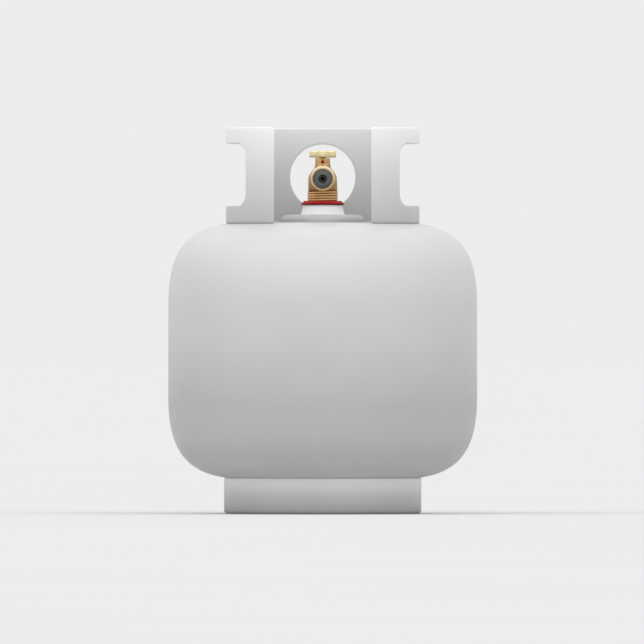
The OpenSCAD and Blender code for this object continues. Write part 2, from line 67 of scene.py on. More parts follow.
HEAD_HIGH = box_mm("upper_head")[1]
TANK_R, _, CROWN_Z = HEAD_HIGH
BOTTOM_Z = box_mm("lower_head")[0].z
SEAM_Z = (CROWN_Z + BOTTOM_Z) / 2
BEAD_H = box_mm("girth_weld")[1].x - TANK_R
FOOT_R, _, FOOT_TOP_Z = box_mm("foot_ring")[1]
COLLAR_LOW_Z = box_mm("collar")[0].z
COLLAR_R, _, COLLAR_TOP_Z = box_mm("collar")[1]
PAD_R, _, PAD_TOP_Z = box_mm("boss_pad")[1]
BOSS_LOW_Z = box_mm("valve_boss")[0].z
BOSS_R, _, BOSS_TOP_Z = box_mm("valve_boss")[1]
RING_R, _, RING_TOP_Z = box_mm("neck_ring")[1]
VALVE_LOW, VALVE_HIGH = box_mm("valve_body")
THREAD_R = VALVE_HIGH.x
OUTLET_Y = VALVE_LOW.y
SEAL_LOW, SEAL_HIGH = box_mm("outlet_seal")
OUTLET_Z = (SEAL_LOW.z + SEAL_HIGH.z) / 2
RELIEF_LOW, RELIEF_HIGH = box_mm("relief_cap")
RELIEF_Z = (RELIEF_LOW.z + RELIEF_HIGH.z) / 2
WHEEL_LOW, WHEEL_HIGH = box_mm("handwheel")
BLEED_LOW, BLEED_HIGH = box_mm("bleed_screw")
BLEED_Z = (BLEED_LOW.z + BLEED_HIGH.z) / 2

# Sizes that no node's box gives, the same as the design's own
SHELL_T = 2.4
HEAD_FLAT_R = 79.5
HEAD_DEPTH = 82.4
SHOULDER_REACH = 61.6
SHOULDER_RISE = 48.9
FOOT_T = 2.8
FOOT_FLANGE_W = 10.0
DRAIN_HOLE_R = 9.0
DRAIN_HOLE_Z = 18.0
DRAIN_HOLE_STEP = math.radians(52)
COLLAR_T = 3.0
FRONT_GAP_HALF = 48.6
HAND_HOLE_HALF_W = 58.2
HAND_HOLE_HALF_H = 31.15
HAND_HOLE_MID_Z = CROWN_Z + 48.1
HAND_HOLE_CORNER_R = 12.0
REAR_HOLE_R = 32.8
REAR_HOLE_Z = CROWN_Z + 46.4
OUTLET_R = 12.75
OUTLET_BORE_R = 9.9
SEAL_HOLE_R = 4.4
NECK_RING_HIGH_R = 18.7
THREAD_CORE_R = 14.2
THREAD_PITCH = 2.45
THREAD_TOP_Z = BOSS_TOP_Z + 14.3
BLOCK_HALF = 14.5
BLOCK_TOP_Z = BOSS_TOP_Z + 24.7
TOWER_LOW_Z = BOSS_TOP_Z + 37.0
TOWER_R = 7.5
TOWER_TOP_Z = BOSS_TOP_Z + 46.0
LOBE_REACH = 10.7
LOBE_R = 4.2

# Weld beads, which the design only outlines
STITCH_ARC = math.radians(25)
STITCH_LEG = 4.0
STITCH_RIPPLE = 2.4

# ---- meshes
def make_object(name, points_mm, faces, smooth_degrees=35):
    """A mesh object from points in millimetres, smooth shaded, with its faces wound as given."""
    mesh = bpy.data.meshes.new(name)
    points = (np.asarray(points_mm, float) * MM).tolist()
    mesh.from_pydata(points, [], faces)
    mesh.validate()
    smooth(mesh, smooth_degrees)
    return linked(name, mesh)


def linked(name, data):
    """A new object with that data, in the scene."""
    thing = bpy.data.objects.new(name, data)
    bpy.context.scene.collection.objects.link(thing)
    return thing


def smooth(mesh, degrees=35):
    """Smooth shading, except across edges sharper than that angle."""
    mesh.shade_smooth()
    mesh.set_sharp_from_angle(angle=math.radians(degrees))
    mesh.update()


def turn_outward(points, faces):
    """The faces, flipped all together if the closed mesh they make is inside out."""
    fans = [(face[0], face[i], face[i + 1]) for face in faces for i in range(1, len(face) - 1)]
    a, b, c = np.asarray(points, float)[np.array(fans).T]
    if np.sum(a * np.cross(b, c)) < 0:
        return [tuple(reversed(face)) for face in faces]
    return faces


def rounded(corners, radii, steps=5):
    """A closed outline with each corner replaced by an arc. radii is one number, or one a corner."""
    count = len(corners)
    if not hasattr(radii, "__len__"):
        radii = [radii] * count
    outline = []
    for i, radius in enumerate(radii):
        here = np.array(corners[i], float)
        before = np.array(corners[i - 1], float) - here
        after = np.array(corners[(i + 1) % count], float) - here
        before_l, after_l = np.linalg.norm(before), np.linalg.norm(after)
        before, after = before / before_l, after / after_l
        angle = math.acos(max(-1.0, min(1.0, float(before @ after))))
        if radius <= 0 or angle > math.pi - 0.02:
            outline.append(tuple(here))
            continue
        reach = min(radius / math.tan(angle / 2), before_l * 0.49, after_l * 0.49)
        radius = reach * math.tan(angle / 2)
        middle = (before + after) / np.linalg.norm(before + after)
        centre = here + middle * (radius / math.sin(angle / 2))
        start = here + before * reach - centre
        end = here + after * reach - centre
        sweep = math.pi - angle
        for k in range(steps + 1):
            t = k / steps
            mix = math.sin((1 - t) * sweep) * start + math.sin(t * sweep) * end
            outline.append(tuple(centre + mix / math.sin(sweep)))
    return outline


def ring_of(segments, point_at):
    """A ring of points about the Z axis. point_at(angle) gives each point's radius and height."""
    ring = []
    for k in range(segments):
        a = TURN * k / segments
        radius, z = point_at(a)
        ring.append((radius * math.cos(a), radius * math.sin(a), z))
    return ring


def circle(radius, z, segments):
    return ring_of(segments, lambda angle: (radius, z))


def rings_of(segments, rows, point_at):
    """A stack of rings. point_at(t, angle) gives radius and height, with t from 0 to 1 up the stack."""
    return [ring_of(segments, lambda angle: point_at(j / rows, angle)) for j in range(rows + 1)]


def revolve(name, outline, segments=192, centre=(0, 0, 0), axis="Z"):
    """Turns a closed outline of (radius, height) about an axis through centre."""
    points, rings = [], []
    for radius, height in outline:
        turns = 1 if radius < 1e-6 else segments
        rings.append(range(len(points), len(points) + turns))
        points += circle(radius, height, turns)
    faces = []
    for i, ring in enumerate(rings):
        following = rings[(i + 1) % len(rings)]
        if len(ring) == 1 and len(following) == 1:
            continue
        for k in range(segments):
            n = (k + 1) % segments
            if len(ring) == 1:
                faces.append((ring[0], following[k], following[n]))
            elif len(following) == 1:
                faces.append((ring[k], following[0], ring[n]))
            else:
                faces.append((ring[k], following[k], following[n], ring[n]))
    return place(name, points, turn_outward(points, faces), centre, axis)


def place(name, points, faces, centre=(0, 0, 0), axis="Z", smooth_degrees=35):
    """Points built along +Z, turned so that +Z becomes the given axis, then moved to centre."""
    x, y, z = np.asarray(points, float).T
    turned = {"Z": (x, y, z), "-Y": (x, -z, y), "Y": (-x, z, y)}[axis]
    return make_object(name, np.stack(turned, axis=1) + np.array(centre, float), faces, smooth_degrees)


def threaded_wall(radius_at, low, high, pitch, hand, segments, rows):
    """Rings of points up a wall whose radius follows a thread. hand is 1 for right, -1 for left."""
    def surface(t, angle):
        z = low + (high - low) * t
        phase = (z / pitch - hand * angle / TURN) % 1.0
        return radius_at(phase, t), z

    return rings_of(segments, rows, surface)


def skin(rings, closed_ends=True):
    """Joins rings of equally many points into a tube with flat ends, or else into a closed loop."""
    points = [p for ring in rings for p in ring]
    count = len(rings[0])
    faces = []
    for j in range(len(rings) - 1 if closed_ends else len(rings)):
        row, above = j * count, (j + 1) % len(rings) * count
        for k in range(count):
            n = (k + 1) % count
            faces.append((row + k, row + n, above + n, above + k))
    if closed_ends:
        faces.append(tuple(reversed(range(count))))
        faces.append(tuple(range(len(points) - count, len(points))))
    return points, turn_outward(points, faces)


# ---- rolled sheet with holes
def loop_normals(loop):
    """Unit normals of a closed loop, to the left of its direction of travel."""
    p = np.asarray(loop, float)
    along = np.roll(p, -1, axis=0) - np.roll(p, 1, axis=0)
    along /= np.linalg.norm(along, axis=1)[:, None]
    return np.stack([-along[:, 1], along[:, 0]], axis=1)


def area_of(loop):
    """The area inside a closed loop, positive when it runs anticlockwise."""
    p = np.asarray(loop, float)
    q = np.roll(p, -1, axis=0)
    return float(np.sum(p[:, 0] * q[:, 1] - q[:, 0] * p[:, 1])) / 2


def resampled(loop, step):
    """The closed loop with extra points, so that no two neighbours are more than step apart."""
    out = []
    for i, a in enumerate(loop):
        b = loop[(i + 1) % len(loop)]
        gap = math.dist(a, b)
        pieces = max(1, math.ceil(gap / step))
        for k in range(pieces):
            t = k / pieces
            out.append((a[0] + (b[0] - a[0]) * t, a[1] + (b[1] - a[1]) * t))
    return out


def inside_loop(points, loop):
    """Which of the points lie inside the closed loop."""
    x, y = points[:, 0], points[:, 1]
    inside = np.zeros(len(points), bool)
    for i in range(len(loop)):
        x1, y1 = loop[i - 1]
        x2, y2 = loop[i]
        if y1 == y2:
            continue
        crosses = (y1 > y) != (y2 > y)
        inside ^= crosses & (x < (x2 - x1) * (y - y1) / (y2 - y1) + x1)
    return inside


def edge_profile(edge_r, thickness, steps=4):
    """A rounded cut edge as (inset, depth), from the sheet's outer face round to its inner one."""
    half = []
    for k in range(steps + 1):
        a = math.pi / 2 * k / steps
        half.append((edge_r * (1 - math.sin(a)), edge_r * (1 - math.cos(a))))
    return half + [(inset, thickness - depth) for inset, depth in reversed(half)]


def sheet_metal(name, outer, holes, thickness, edge_r, shape, grid_step):
    """A sheet cut to a flat outline with holes, then formed by shape(s, w, depth) -> point.

    depth runs from 0 on the outer face to thickness. Every cut edge is rounded to edge_r. The mesh
    carries two attributes: rim is 1 on the cut edges and fades to 0 over the faces, and depth runs
    from 0 on the outer face to 1 on the inner one.
    """
    loops = []
    for loop, is_hole in [(outer, False)] + [(h, True) for h in holes]:
        loop = loop if area_of(loop) > 0 else list(reversed(loop))
        inward = loop_normals(loop) * (-1 if is_hole else 1)
        loops.append((np.asarray(loop, float), inward))
    edge = edge_profile(edge_r, thickness)

    points, rims, depths, faces = [], [], [], []
    flat, flat_index, constraints = [], [], []
    for loop, inward in loops:
        start, count, first = len(points), len(loop), len(flat)
        for inset, depth in edge:
            for s, w in loop + inward * inset:
                points.append(shape(s, w, depth))
                rims.append(1.0)
                depths.append(depth / thickness)
        for row in range(len(edge) - 1):
            for k in range(count):
                a, b = start + row * count + k, start + row * count + (k + 1) % count
                faces.append((a, b, b + count, a + count))
        for k, point in enumerate(loop + inward * edge_r):
            flat.append(tuple(point))
            flat_index.append((start + k, start + (len(edge) - 1) * count + k))
            constraints.append((first + k, first + (k + 1) % count))

    for s, w, nearness in inner_grid(loops, flat, grid_step):
        flat.append((s, w))
        flat_index.append((len(points), len(points) + 1))
        points += [shape(s, w, 0.0), shape(s, w, thickness)]
        rims += [nearness, nearness]
        depths += [0.0, 1.0]

    made = delaunay_2d_cdt([Vector(p) for p in flat], constraints, [], 0, 1e-6)
    corners, triangles, originals = made[0], made[2], made[3]
    xy = np.array([tuple(c) for c in corners], float)
    middles = np.array([xy[list(t)].mean(axis=0) for t in triangles])
    keep = inside_sheet(middles, [loop + inward * edge_r for loop, inward in loops])
    for triangle, kept in zip(triangles, keep):
        if kept:
            a, b, c = [flat_index[originals[i][0]] for i in triangle]
            faces += [(a[0], b[0], c[0]), (c[1], b[1], a[1])]
    thing = make_object(name, points, faces)
    fix_normals(thing)
    store(thing, "rim", rims)
    store(thing, "depth", depths)
    return thing


def inside_sheet(points, loops):
    """Which of the points lie inside the first loop and outside all the others."""
    keep = inside_loop(points, loops[0])
    for loop in loops[1:]:
        keep &= ~inside_loop(points, loop)
    return keep


def inner_grid(loops, flat, step):
    """Points (s, w, nearness to an edge) on a grid inside the sheet, clear of its edges."""
    clearance, fade, most = 0.9, 5.0, 0.6
    edge = np.array(flat)
    low, high = edge.min(axis=0), edge.max(axis=0)
    counts = [max(2, math.ceil((high[i] - low[i]) / step[i])) for i in (0, 1)]
    s, w = np.meshgrid(*[np.linspace(low[i], high[i], counts[i] + 1)[1:-1] for i in (0, 1)])
    spots = np.stack([s.ravel(), w.ravel()], axis=1)
    spots = spots[inside_sheet(spots, [loop for loop, _ in loops])]
    distance = np.full(len(spots), np.inf)
    for part in np.array_split(edge, max(1, len(edge) // 200)):
        gap = np.linalg.norm(spots[:, None, :] - part[None, :, :], axis=2)
        distance = np.minimum(distance, gap.min(axis=1))
    nearness = np.clip(1 - distance / fade, 0, 1) * most
    clear = distance > clearance
    return [(*spot, float(n)) for spot, n in zip(spots[clear], nearness[clear])]


def fix_normals(thing):
    """Turns every face of a closed mesh outward."""
    edit = bmesh.new()
    edit.from_mesh(thing.data)
    bmesh.ops.recalc_face_normals(edit, faces=edit.faces)
    for edge in edit.edges:
        edge.smooth = True
    edit.to_mesh(thing.data)
    edit.free()
    smooth(thing.data)


def store(thing, attribute, values):
    """Writes one number a point into a mesh attribute, which materials can read."""
    data = thing.data.attributes.new(attribute, "FLOAT", "POINT").data
    data.foreach_set("value", np.asarray(values, np.float32))


# ---- smooth solids from distance fields
def smooth_union(a, b, radius):
    """Both solids as one, with the corner between them filled to about that radius."""
    h = np.clip(0.5 + 0.5 * (b - a) / radius, 0, 1)
    return b + (a - b) * h - radius * h * (1 - h)


def smooth_cut(a, b, radius):
    """Solid a without solid b, with the new edge rounded."""
    return -smooth_union(-a, b, radius)


def smooth_meet(a, b, radius):
    """Only what is in both solids, with the new edge rounded."""
    return -smooth_union(-a, -b, radius)


def cylinder(from_axis, along, radius, low, high):
    """A capped cylinder, from each point's distance to its axis and place along it."""
    radial = from_axis - radius
    lengthwise = np.abs(along - (low + high) / 2) - (high - low) / 2
    outside = np.hypot(np.maximum(radial, 0), np.maximum(lengthwise, 0))
    return outside + np.minimum(np.maximum(radial, lengthwise), 0)


def post(p, radius, low, high):
    """An upright cylinder on the object's axis, from low to high."""
    return cylinder(np.hypot(p[..., 0], p[..., 1]), p[..., 2], radius, low, high)


def pipe(p, z, radius, low, high):
    """A cylinder along Y at height z, from low to high on Y."""
    return cylinder(np.hypot(p[..., 0], p[..., 2] - z), p[..., 1], radius, low, high)


def ball(p, centre, radius):
    return np.linalg.norm(p - np.array(centre), axis=-1) - radius


def bar(p, centre, half, corner_r):
    """A box with rounded edges."""
    q = np.abs(p - np.array(centre, float)) - (np.array(half, float) - corner_r)
    outside = np.linalg.norm(np.maximum(q, 0), axis=-1)
    return outside + np.minimum(q.max(axis=-1), 0) - corner_r


def field_solid(name, field, low, high, cell):
    """A smooth mesh of the surface where field(points) is 0, found on a grid of the given cell.

    The solid has to lie inside the box from low to high.
    """
    axes = [np.arange(low[i], high[i] + cell, cell) for i in range(3)]
    grid = np.stack(np.meshgrid(*axes, indexing="ij"), axis=-1)
    value = field(grid)
    inside = value < 0
    shape = tuple(n - 1 for n in value.shape)
    total = np.zeros(shape + (3,))
    count = np.zeros(shape)

    def corner(array, offset):
        spans = tuple(slice(o, o + n) for o, n in zip(offset, shape))
        return array[spans]

    for axis, u, v in itertools.product(range(3), (0, 1), (0, 1)):
        start, end = [u, v], [u, v]
        start.insert(axis, 0)
        end.insert(axis, 1)
        a, b = corner(value, start), corner(value, end)
        crossed = corner(inside, start) != corner(inside, end)
        t = np.where(crossed, a / np.where(crossed, a - b, 1), 0)
        p = corner(grid, start) + (corner(grid, end) - corner(grid, start)) * t[..., None]
        total += np.where(crossed[..., None], p, 0)
        count += crossed
    used = count > 0
    points = total[used] / count[used][:, None]
    index = np.full(shape, -1)
    index[used] = np.arange(len(points))
    faces = []
    for axis in range(3):
        a = np.take(inside, range(0, inside.shape[axis] - 1), axis)
        b = np.take(inside, range(1, inside.shape[axis]), axis)
        others = [i for i in range(3) if i != axis]
        for spot in np.argwhere(a != b):
            ring = []
            for du, dv in ((-1, -1), (0, -1), (0, 0), (-1, 0)):
                cell_at = list(spot)
                cell_at[others[0]] += du
                cell_at[others[1]] += dv
                ring.append(int(index[tuple(cell_at)]))
            out = bool(a[tuple(spot)]) == (axis != 1)
            faces.append(tuple(ring) if out else tuple(reversed(ring)))
    points = settled(points, field, cell)
    return make_object(name, points, faces, smooth_degrees=50)


def settled(points, field, cell):
    """Moves each point onto the surface along the field's slope."""
    reach = cell * 0.05
    for _ in range(4):
        slope = np.zeros_like(points)
        for axis in range(3):
            step = np.zeros(3)
            step[axis] = reach
            slope[:, axis] = (field(points + step) - field(points - step)) / (2 * reach)
        steep = np.maximum((slope**2).sum(axis=1), 0.2)
        move = slope * (field(points) / steep)[:, None]
        length = np.linalg.norm(move, axis=1)
        limit = cell * 0.5
        move *= np.minimum(1, limit / np.maximum(length, 1e-12))[:, None]
        points = points - move
    return points


# ---- beads and coils
def stitch_welds(name, middles, radius, height, side, rise):
    """Stitch welds in a corner, as one piece: each is a rippled bead with tapered ends.

    side is 1 outside the wall at that radius and -1 inside it. rise is 1 above the head's surface
    at that height and -1 below it.
    """
    points, faces = [], []
    sides, least = 12, 0.05
    length = radius * STITCH_ARC
    count = max(24, int(length / 0.5))
    for middle in middles:
        rings = []
        for i in range(count + 1):
            t = i / count
            a = middle + STITCH_ARC * (t - 0.5)
            radial = np.array([math.cos(a), math.sin(a), 0.0])
            wall, crown = radial * side, np.array([0, 0, rise])
            taper = min(1.0, math.sin(math.pi * t) * 6) ** 0.5
            ripple = abs(math.sin(math.pi * length * t / STITCH_RIPPLE))
            size = STITCH_LEG * taper * (1 + 0.10 * ripple + rng.uniform(-0.02, 0.02))
            centre = radial * radius + np.array([0, 0, height]) + (wall + crown) * STITCH_LEG * 0.12
            across = (wall - crown) / math.sqrt(2) * max(0.62 * size, least)
            out = (wall + crown) / math.sqrt(2) * max(0.36 * size, least)
            turns = [TURN * k / sides for k in range(sides)]
            rings.append([tuple(centre + across * math.cos(b) + out * math.sin(b)) for b in turns])
        bead, bead_faces = skin(rings)
        faces += [tuple(i + len(points) for i in face) for face in bead_faces]
        points += bead
    return make_object(name, points, faces)


def coil(name, radius, wire_r, low, high, turns, height, axis):
    """A helical spring from low to high along its axis, which is at that height."""
    steps, sides = turns * 40, 10
    climb = high - low - 2 * wire_r
    rings = []
    for i in range(steps + 1):
        a = TURN * turns * i / steps
        middle = low + wire_r + climb * i / steps
        ring = []
        for k in range(sides):
            b = TURN * k / sides
            reach = radius + wire_r * math.cos(b)
            ring.append((reach * math.cos(a), reach * math.sin(a), middle + wire_r * math.sin(b)))
        rings.append(ring)
    points, faces = skin(rings)
    return place(name, points, faces, (0, 0, height), axis)


def shorten(spring, node):
    """Gives a spring along Y its own copy of its mesh. The anchor at its rear end is worked out but not used.
    """
    low, high = box_mm(node)
    anchor = (low + high) / 2 * MM
    anchor.y = high.y * MM
    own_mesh(spring)


# ---- materials
class Shader:
    """The node tree of a material or the sky, with short calls to add and join nodes."""

    def __init__(self, owner, coordinates="Object"):
        owner.use_nodes = True
        self.owner = owner
        self.tree = owner.node_tree
        self.coordinates = self.add("ShaderNodeTexCoord").outputs[coordinates]

    def add(self, kind, sockets=(), **settings):
        """A new node. sockets gives its inputs, by name or number: each a number, a tuple or an output."""
        node = self.tree.nodes.new(kind)
        for key, value in settings.items():
            setattr(node, key, value)
        for key, value in dict(sockets).items():
            self.feed(node.inputs[key], value)
        return node

    def feed(self, socket, value):
        if isinstance(value, (int, float)):
            socket.default_value = value
        elif isinstance(value, tuple):
            socket.default_value = (*value, 1) if socket.type == "RGBA" else value
        else:
            self.tree.links.new(value, socket)

    def noise(self, scale, detail=3.0, roughness=0.55, vector=None):
        sockets = {"Scale": scale, "Detail": detail, "Roughness": roughness}
        sockets["Vector"] = vector or self.coordinates
        return self.add("ShaderNodeTexNoise", sockets).outputs[0]

    def stretched(self, scale):
        """The object's coordinates, scaled by three numbers."""
        sockets = {"Scale": scale, "Vector": self.coordinates}
        return self.add("ShaderNodeMapping", sockets).outputs["Vector"]

    def fit(self, value, low, high, new_low, new_high):
        """value, mapped from one range to another and held inside it."""
        sockets = {"Value": value, "From Min": low, "From Max": high, "To Min": new_low, "To Max": new_high}
        return self.add("ShaderNodeMapRange", sockets).outputs["Result"]

    def vary(self, low, high, scale, detail=3.0, roughness=0.55, span=(0.3, 0.7)):
        """A number that wanders from low to high, as noise of that scale runs over span."""
        return self.fit(self.noise(scale, detail, roughness), *span, low, high)

    def math(self, operation, a, b):
        return self.add("ShaderNodeMath", {0: a, 1: b}, operation=operation).outputs[0]

    def blend(self, amount, a, b, mode="MIX"):
        """Mixes two colours. Each is a colour of three numbers or a node's output."""
        sockets = {0: amount, 6: a, 7: b}
        return self.add("ShaderNodeMix", sockets, data_type="RGBA", blend_type=mode).outputs[2]

    def tinted(self, base, tint):
        return self.blend(1.0, base, tint, "MULTIPLY")

    def ramp(self, value, stops):
        """A colour ramp through stops of (place, colour)."""
        node = self.add("ShaderNodeValToRGB", {0: value})
        elements = node.color_ramp.elements
        while len(elements) < len(stops):
            elements.new(0.5)
        for element, (place_at, colour) in zip(elements, stops):
            element.position = place_at
            element.color = (*colour, 1)
        return node.outputs[0]

    def height(self):
        """The height above the object's base, in metres, or how far up a ray points."""
        return self.add("ShaderNodeSeparateXYZ", {0: self.coordinates}).outputs["Z"]

    def by_height(self, stops):
        """A colour that changes with height, through stops of (height in mm, colour) from below up."""
        low_z, high_z = stops[0][0], stops[-1][0]
        rise = self.fit(self.height(), low_z * MM, high_z * MM, 0, 1)
        return self.ramp(rise, [((z - low_z) / (high_z - low_z), colour) for z, colour in stops])

    def attribute(self, name):
        """A number stored in the mesh. rim is 1 on cut edges, and marks painted shade in a thread's roots and
        in a recess.
        """
        return self.add("ShaderNodeAttribute", attribute_name=name).outputs["Fac"]

    def bump(self, height, strength, distance, after=None):
        sockets = {"Strength": strength, "Distance": distance, "Height": height}
        if after:
            sockets["Normal"] = after
        return self.add("ShaderNodeBump", sockets).outputs["Normal"]

    def finish(self, **values):
        """Sets or joins the surface's inputs, and gives back the material."""
        surface = self.tree.nodes["Principled BSDF"]
        for name, value in values.items():
            self.feed(surface.inputs[name.replace("_", " ")], value)
        return self.owner


def new_material(name):
    return Shader(bpy.data.materials.new(name))


def grey(value):
    """A faintly cool neutral of that linear brightness."""
    return (value * 0.995, value, value * 1.008)


def painted_steel(name, painted_shading, wear=0.0, inside=1.0):
    """Powder coat with orange peel, faint mottling, specks of dust and chipped edges.

    The (height in mm, brightness) pairs, from the bottom up, are painted light and shade by height. wear is
    how far the chips spread, and inside is painted shade that dims the inner face of a sheet.
    """
    s = new_material(name)
    rough = 0.42
    low_grey = painted_shading[0][1]
    # painted light and shade: the brightness by height stands in for how the light falls on the part
    base = s.by_height([(z, grey(value)) for z, value in painted_shading])
    # painted shade on the inner face of the sheet
    if inside < 1:
        base = s.tinted(base, s.fit(s.attribute("depth"), 0.4, 1.0, 1.0, inside))
    base = s.tinted(base, s.vary(0.975, 1.02, 14, 4))
    dust = s.vary(0, 0.10, 900, 2, 0.6, (0.66, 0.74))
    base = s.blend(dust, base, grey(low_grey * 0.55))
    peel, waves = s.noise(420, 2, 0.5), s.noise(55, 2, 0.5)
    normal = s.bump(peel, 0.10, 0.12 * MM, s.bump(waves, 0.06, 0.6 * MM))
    roughness = s.vary(rough - 0.06, rough + 0.08, 60, 5, 0.6)
    if wear:
        patchy = s.math("ADD", s.attribute("rim"), s.vary(-0.75, 0.1, 700, 5, 0.7, (0.35, 0.75)))
        chips = s.fit(patchy, 1.0 - wear, 1.1 - wear, 0, 0.75)
        base = s.blend(chips, base, grey(low_grey * 0.6))
        roughness = s.math("ADD", roughness, s.math("MULTIPLY", chips, 0.15))
    return s.finish(IOR=1.5, Base_Color=base, Roughness=roughness, Normal=normal)


def brass(name, colour, dark, rough, forged=False, recess_shade=None, painted_shade=None):
    """Brass that wanders from bright to tarnished. Forged skin is grainy, and cut faces are brushed.

    The recess colour is painted shade, laid where the mesh attribute rim is high, as in a thread's roots.
    The list of (height in mm, tint) from below up is painted shade by height, darker where less light
    reaches.
    """
    s = new_material(name)
    base = s.blend(s.vary(0, 1, 130, 5, 0.6, (0.35, 0.68)), colour, dark)
    # painted shade by height: darker where less light reaches
    if painted_shade:
        base = s.tinted(base, s.by_height(painted_shade))
    # painted shade in recesses, where rim is high
    if recess_shade:
        base = s.blend(s.math("MULTIPLY", s.attribute("rim"), 0.92), base, recess_shade)
    specks = s.vary(0, 0.35, 1400, 2, 0.5, (0.6, 0.72))
    base = s.blend(specks, base, tuple(c * 0.45 for c in dark))
    if forged:
        normal = s.bump(s.noise(1500, 3, 0.65), 0.28, 0.08 * MM, s.bump(s.noise(260, 2), 0.2, 0.25 * MM))
    else:
        normal = s.bump(s.noise(40, 2, 0.5, s.stretched((12, 12, 120))), 0.12, 0.05 * MM)
    roughness = s.vary(rough - 0.08, rough + 0.1, 420, 4, 0.6)
    return s.finish(Metallic=0.8, IOR=1.5, Base_Color=base, Roughness=roughness, Normal=normal)


def plastic(name, colour, rough, ior=1.45, recess_shade=None, painted_shade=None):
    """Moulded plastic or rubber: near-even colour, fine grain and slight wear in the gloss."""
    s = new_material(name)
    base = s.tinted(colour, s.vary(0.9, 1.1, 160, 4))
    # painted shade by height: darker where less light reaches
    if painted_shade:
        base = s.tinted(base, s.by_height(painted_shade))
    # painted shade in a recess, where rim is high
    if recess_shade:
        base = s.blend(s.attribute("rim"), base, recess_shade)
    normal = s.bump(s.noise(900, 3), 0.15, 0.06 * MM)
    roughness = s.vary(rough - 0.07, rough + 0.07, 300, 4)
    return s.finish(IOR=ior, Base_Color=base, Roughness=roughness, Normal=normal)


def steel(name, colour, rough):
    """Bright wire or screw steel, with fine drawn lines."""
    s = new_material(name)
    base = s.tinted(colour, s.vary(0.85, 1.08, 500, 4))
    normal = s.bump(s.noise(60, 2, 0.5, s.stretched((60, 60, 8))), 0.15, 0.03 * MM)
    roughness = s.vary(rough - 0.06, rough + 0.1, 700, 3)
    return s.finish(Metallic=1.0, Base_Color=base, Roughness=roughness, Normal=normal)


def paints():
    # Each (height in mm, brightness) list is painted light and shade by height, and the collar's inside
    # setting is painted shade on its inner face.
    return {
        "vessel": painted_steel("vessel_paint", [
            (BOTTOM_Z, 0.56), (BOTTOM_Z + 25, 0.40), (BOTTOM_Z + 75, 0.352), (SEAM_Z + 11, 0.44),
            (CROWN_Z - 62, 0.485), (CROWN_Z, 0.50),
        ]),
        "foot": painted_steel("foot_paint", [
            (0, 0.27), (0.16 * FOOT_TOP_Z, 0.30), (0.52 * FOOT_TOP_Z, 0.44), (FOOT_TOP_Z, 0.77),
        ], wear=0.10),
        "collar": painted_steel("collar_paint", [
            (CROWN_Z, 0.385), (CROWN_Z + 48, 0.525), (COLLAR_TOP_Z, 0.70),
        ], wear=0.08, inside=0.86),
        "pad": painted_steel("pad_paint", [(CROWN_Z, 0.35), (PAD_TOP_Z, 0.425)]),
        "boss": painted_steel("boss_paint", [(CROWN_Z, 0.77), (BOSS_TOP_Z, 0.81)]),
    }


def other_materials():
    clean = (1, 1, 1)
    # Each height list below is painted shade: a tint that darkens the lower part of a piece, and on the
    # forging also the foot of the tower, where less light reaches.
    forging_shade = [
        (THREAD_TOP_Z, (0.54, 0.41, 0.30)), (BLOCK_TOP_Z, (0.82, 0.76, 0.72)),
        (TOWER_LOW_Z + 2, (0.70, 0.68, 0.66)), (TOWER_TOP_Z, clean),
    ]
    outlet_shade = [(OUTLET_Z - OUTLET_R, (0.42, 0.28, 0.22)), (OUTLET_Z + 1.2 * OUTLET_R, clean)]
    seal_shade = [(OUTLET_Z - OUTLET_BORE_R, (0.21, 0.26, 0.27)), (OUTLET_Z + OUTLET_BORE_R, clean)]
    wheel_shade = [(WHEEL_LOW.z, (0.62, 0.52, 0.40)), (WHEEL_LOW.z + 3.5, clean)]
    ring_shade = [(BOSS_TOP_Z, (0.16, 0.05, 0.10)), (BOSS_TOP_Z + 3.2, clean)]
    return {
        "forged": brass(
            "forged_brass", (0.71, 0.49, 0.23), (0.53, 0.335, 0.14), 0.45, forged=True, painted_shade=forging_shade),
        "turned": brass("turned_brass", (0.86, 0.76, 0.46), (0.80, 0.68, 0.38), 0.36, painted_shade=outlet_shade),
        # The dark colour in the thread roots is painted shade.
        "thread": brass(
            "thread_brass", (0.78, 0.49, 0.21), (0.68, 0.40, 0.16), 0.36, recess_shade=(0.16, 0.06, 0.015)),
        "pale": brass(
            "pale_brass", (0.82, 0.74, 0.45), (0.76, 0.67, 0.37), 0.48, forged=True, painted_shade=wheel_shade),
        "copper": brass("copper_tube", (0.62, 0.30, 0.16), (0.45, 0.20, 0.10), 0.35),
        "red": plastic("red_plastic", (0.44, 0.026, 0.024), 0.5, ior=1.16, painted_shade=ring_shade),
        "red_paint": plastic("red_paint", (0.36, 0.003, 0.0005), 0.5, ior=1.16),
        "rubber": plastic("seal_rubber", (0.40, 0.42, 0.44), 0.6, painted_shade=seal_shade),
        # The near-black in the plunger's dimple is painted shade.
        "check": plastic("check_plastic", (0.075, 0.077, 0.09), 0.6, ior=1.3, recess_shade=(0.006, 0.005, 0.004)),
        "black": plastic("black_plastic", (0.022, 0.025, 0.026), 0.45),
        "nylon": plastic("white_nylon", (0.72, 0.70, 0.62), 0.5),
        "yellow": plastic("cap_plastic", (0.62, 0.42, 0.04), 0.5),
        "steel": steel("spring_steel", (0.55, 0.55, 0.56), 0.3),
    }


def dress(thing, material, slot, *nodes, body="tank"):
    """Paints a piece, hangs it on its body and hides the CAD nodes it stands for. slot is not used."""
    thing.data.materials.clear()
    thing.data.materials.append(material)
    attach(thing, body)
    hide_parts(*nodes)


# ---- the vessel
def curve(t, a, b, c, d):
    """A smooth cubic curve from a to d, drawn towards b and c on the way."""
    return (1 - t) ** 3 * a + 3 * (1 - t) ** 2 * t * b + 3 * (1 - t) * t * t * c + t**3 * d


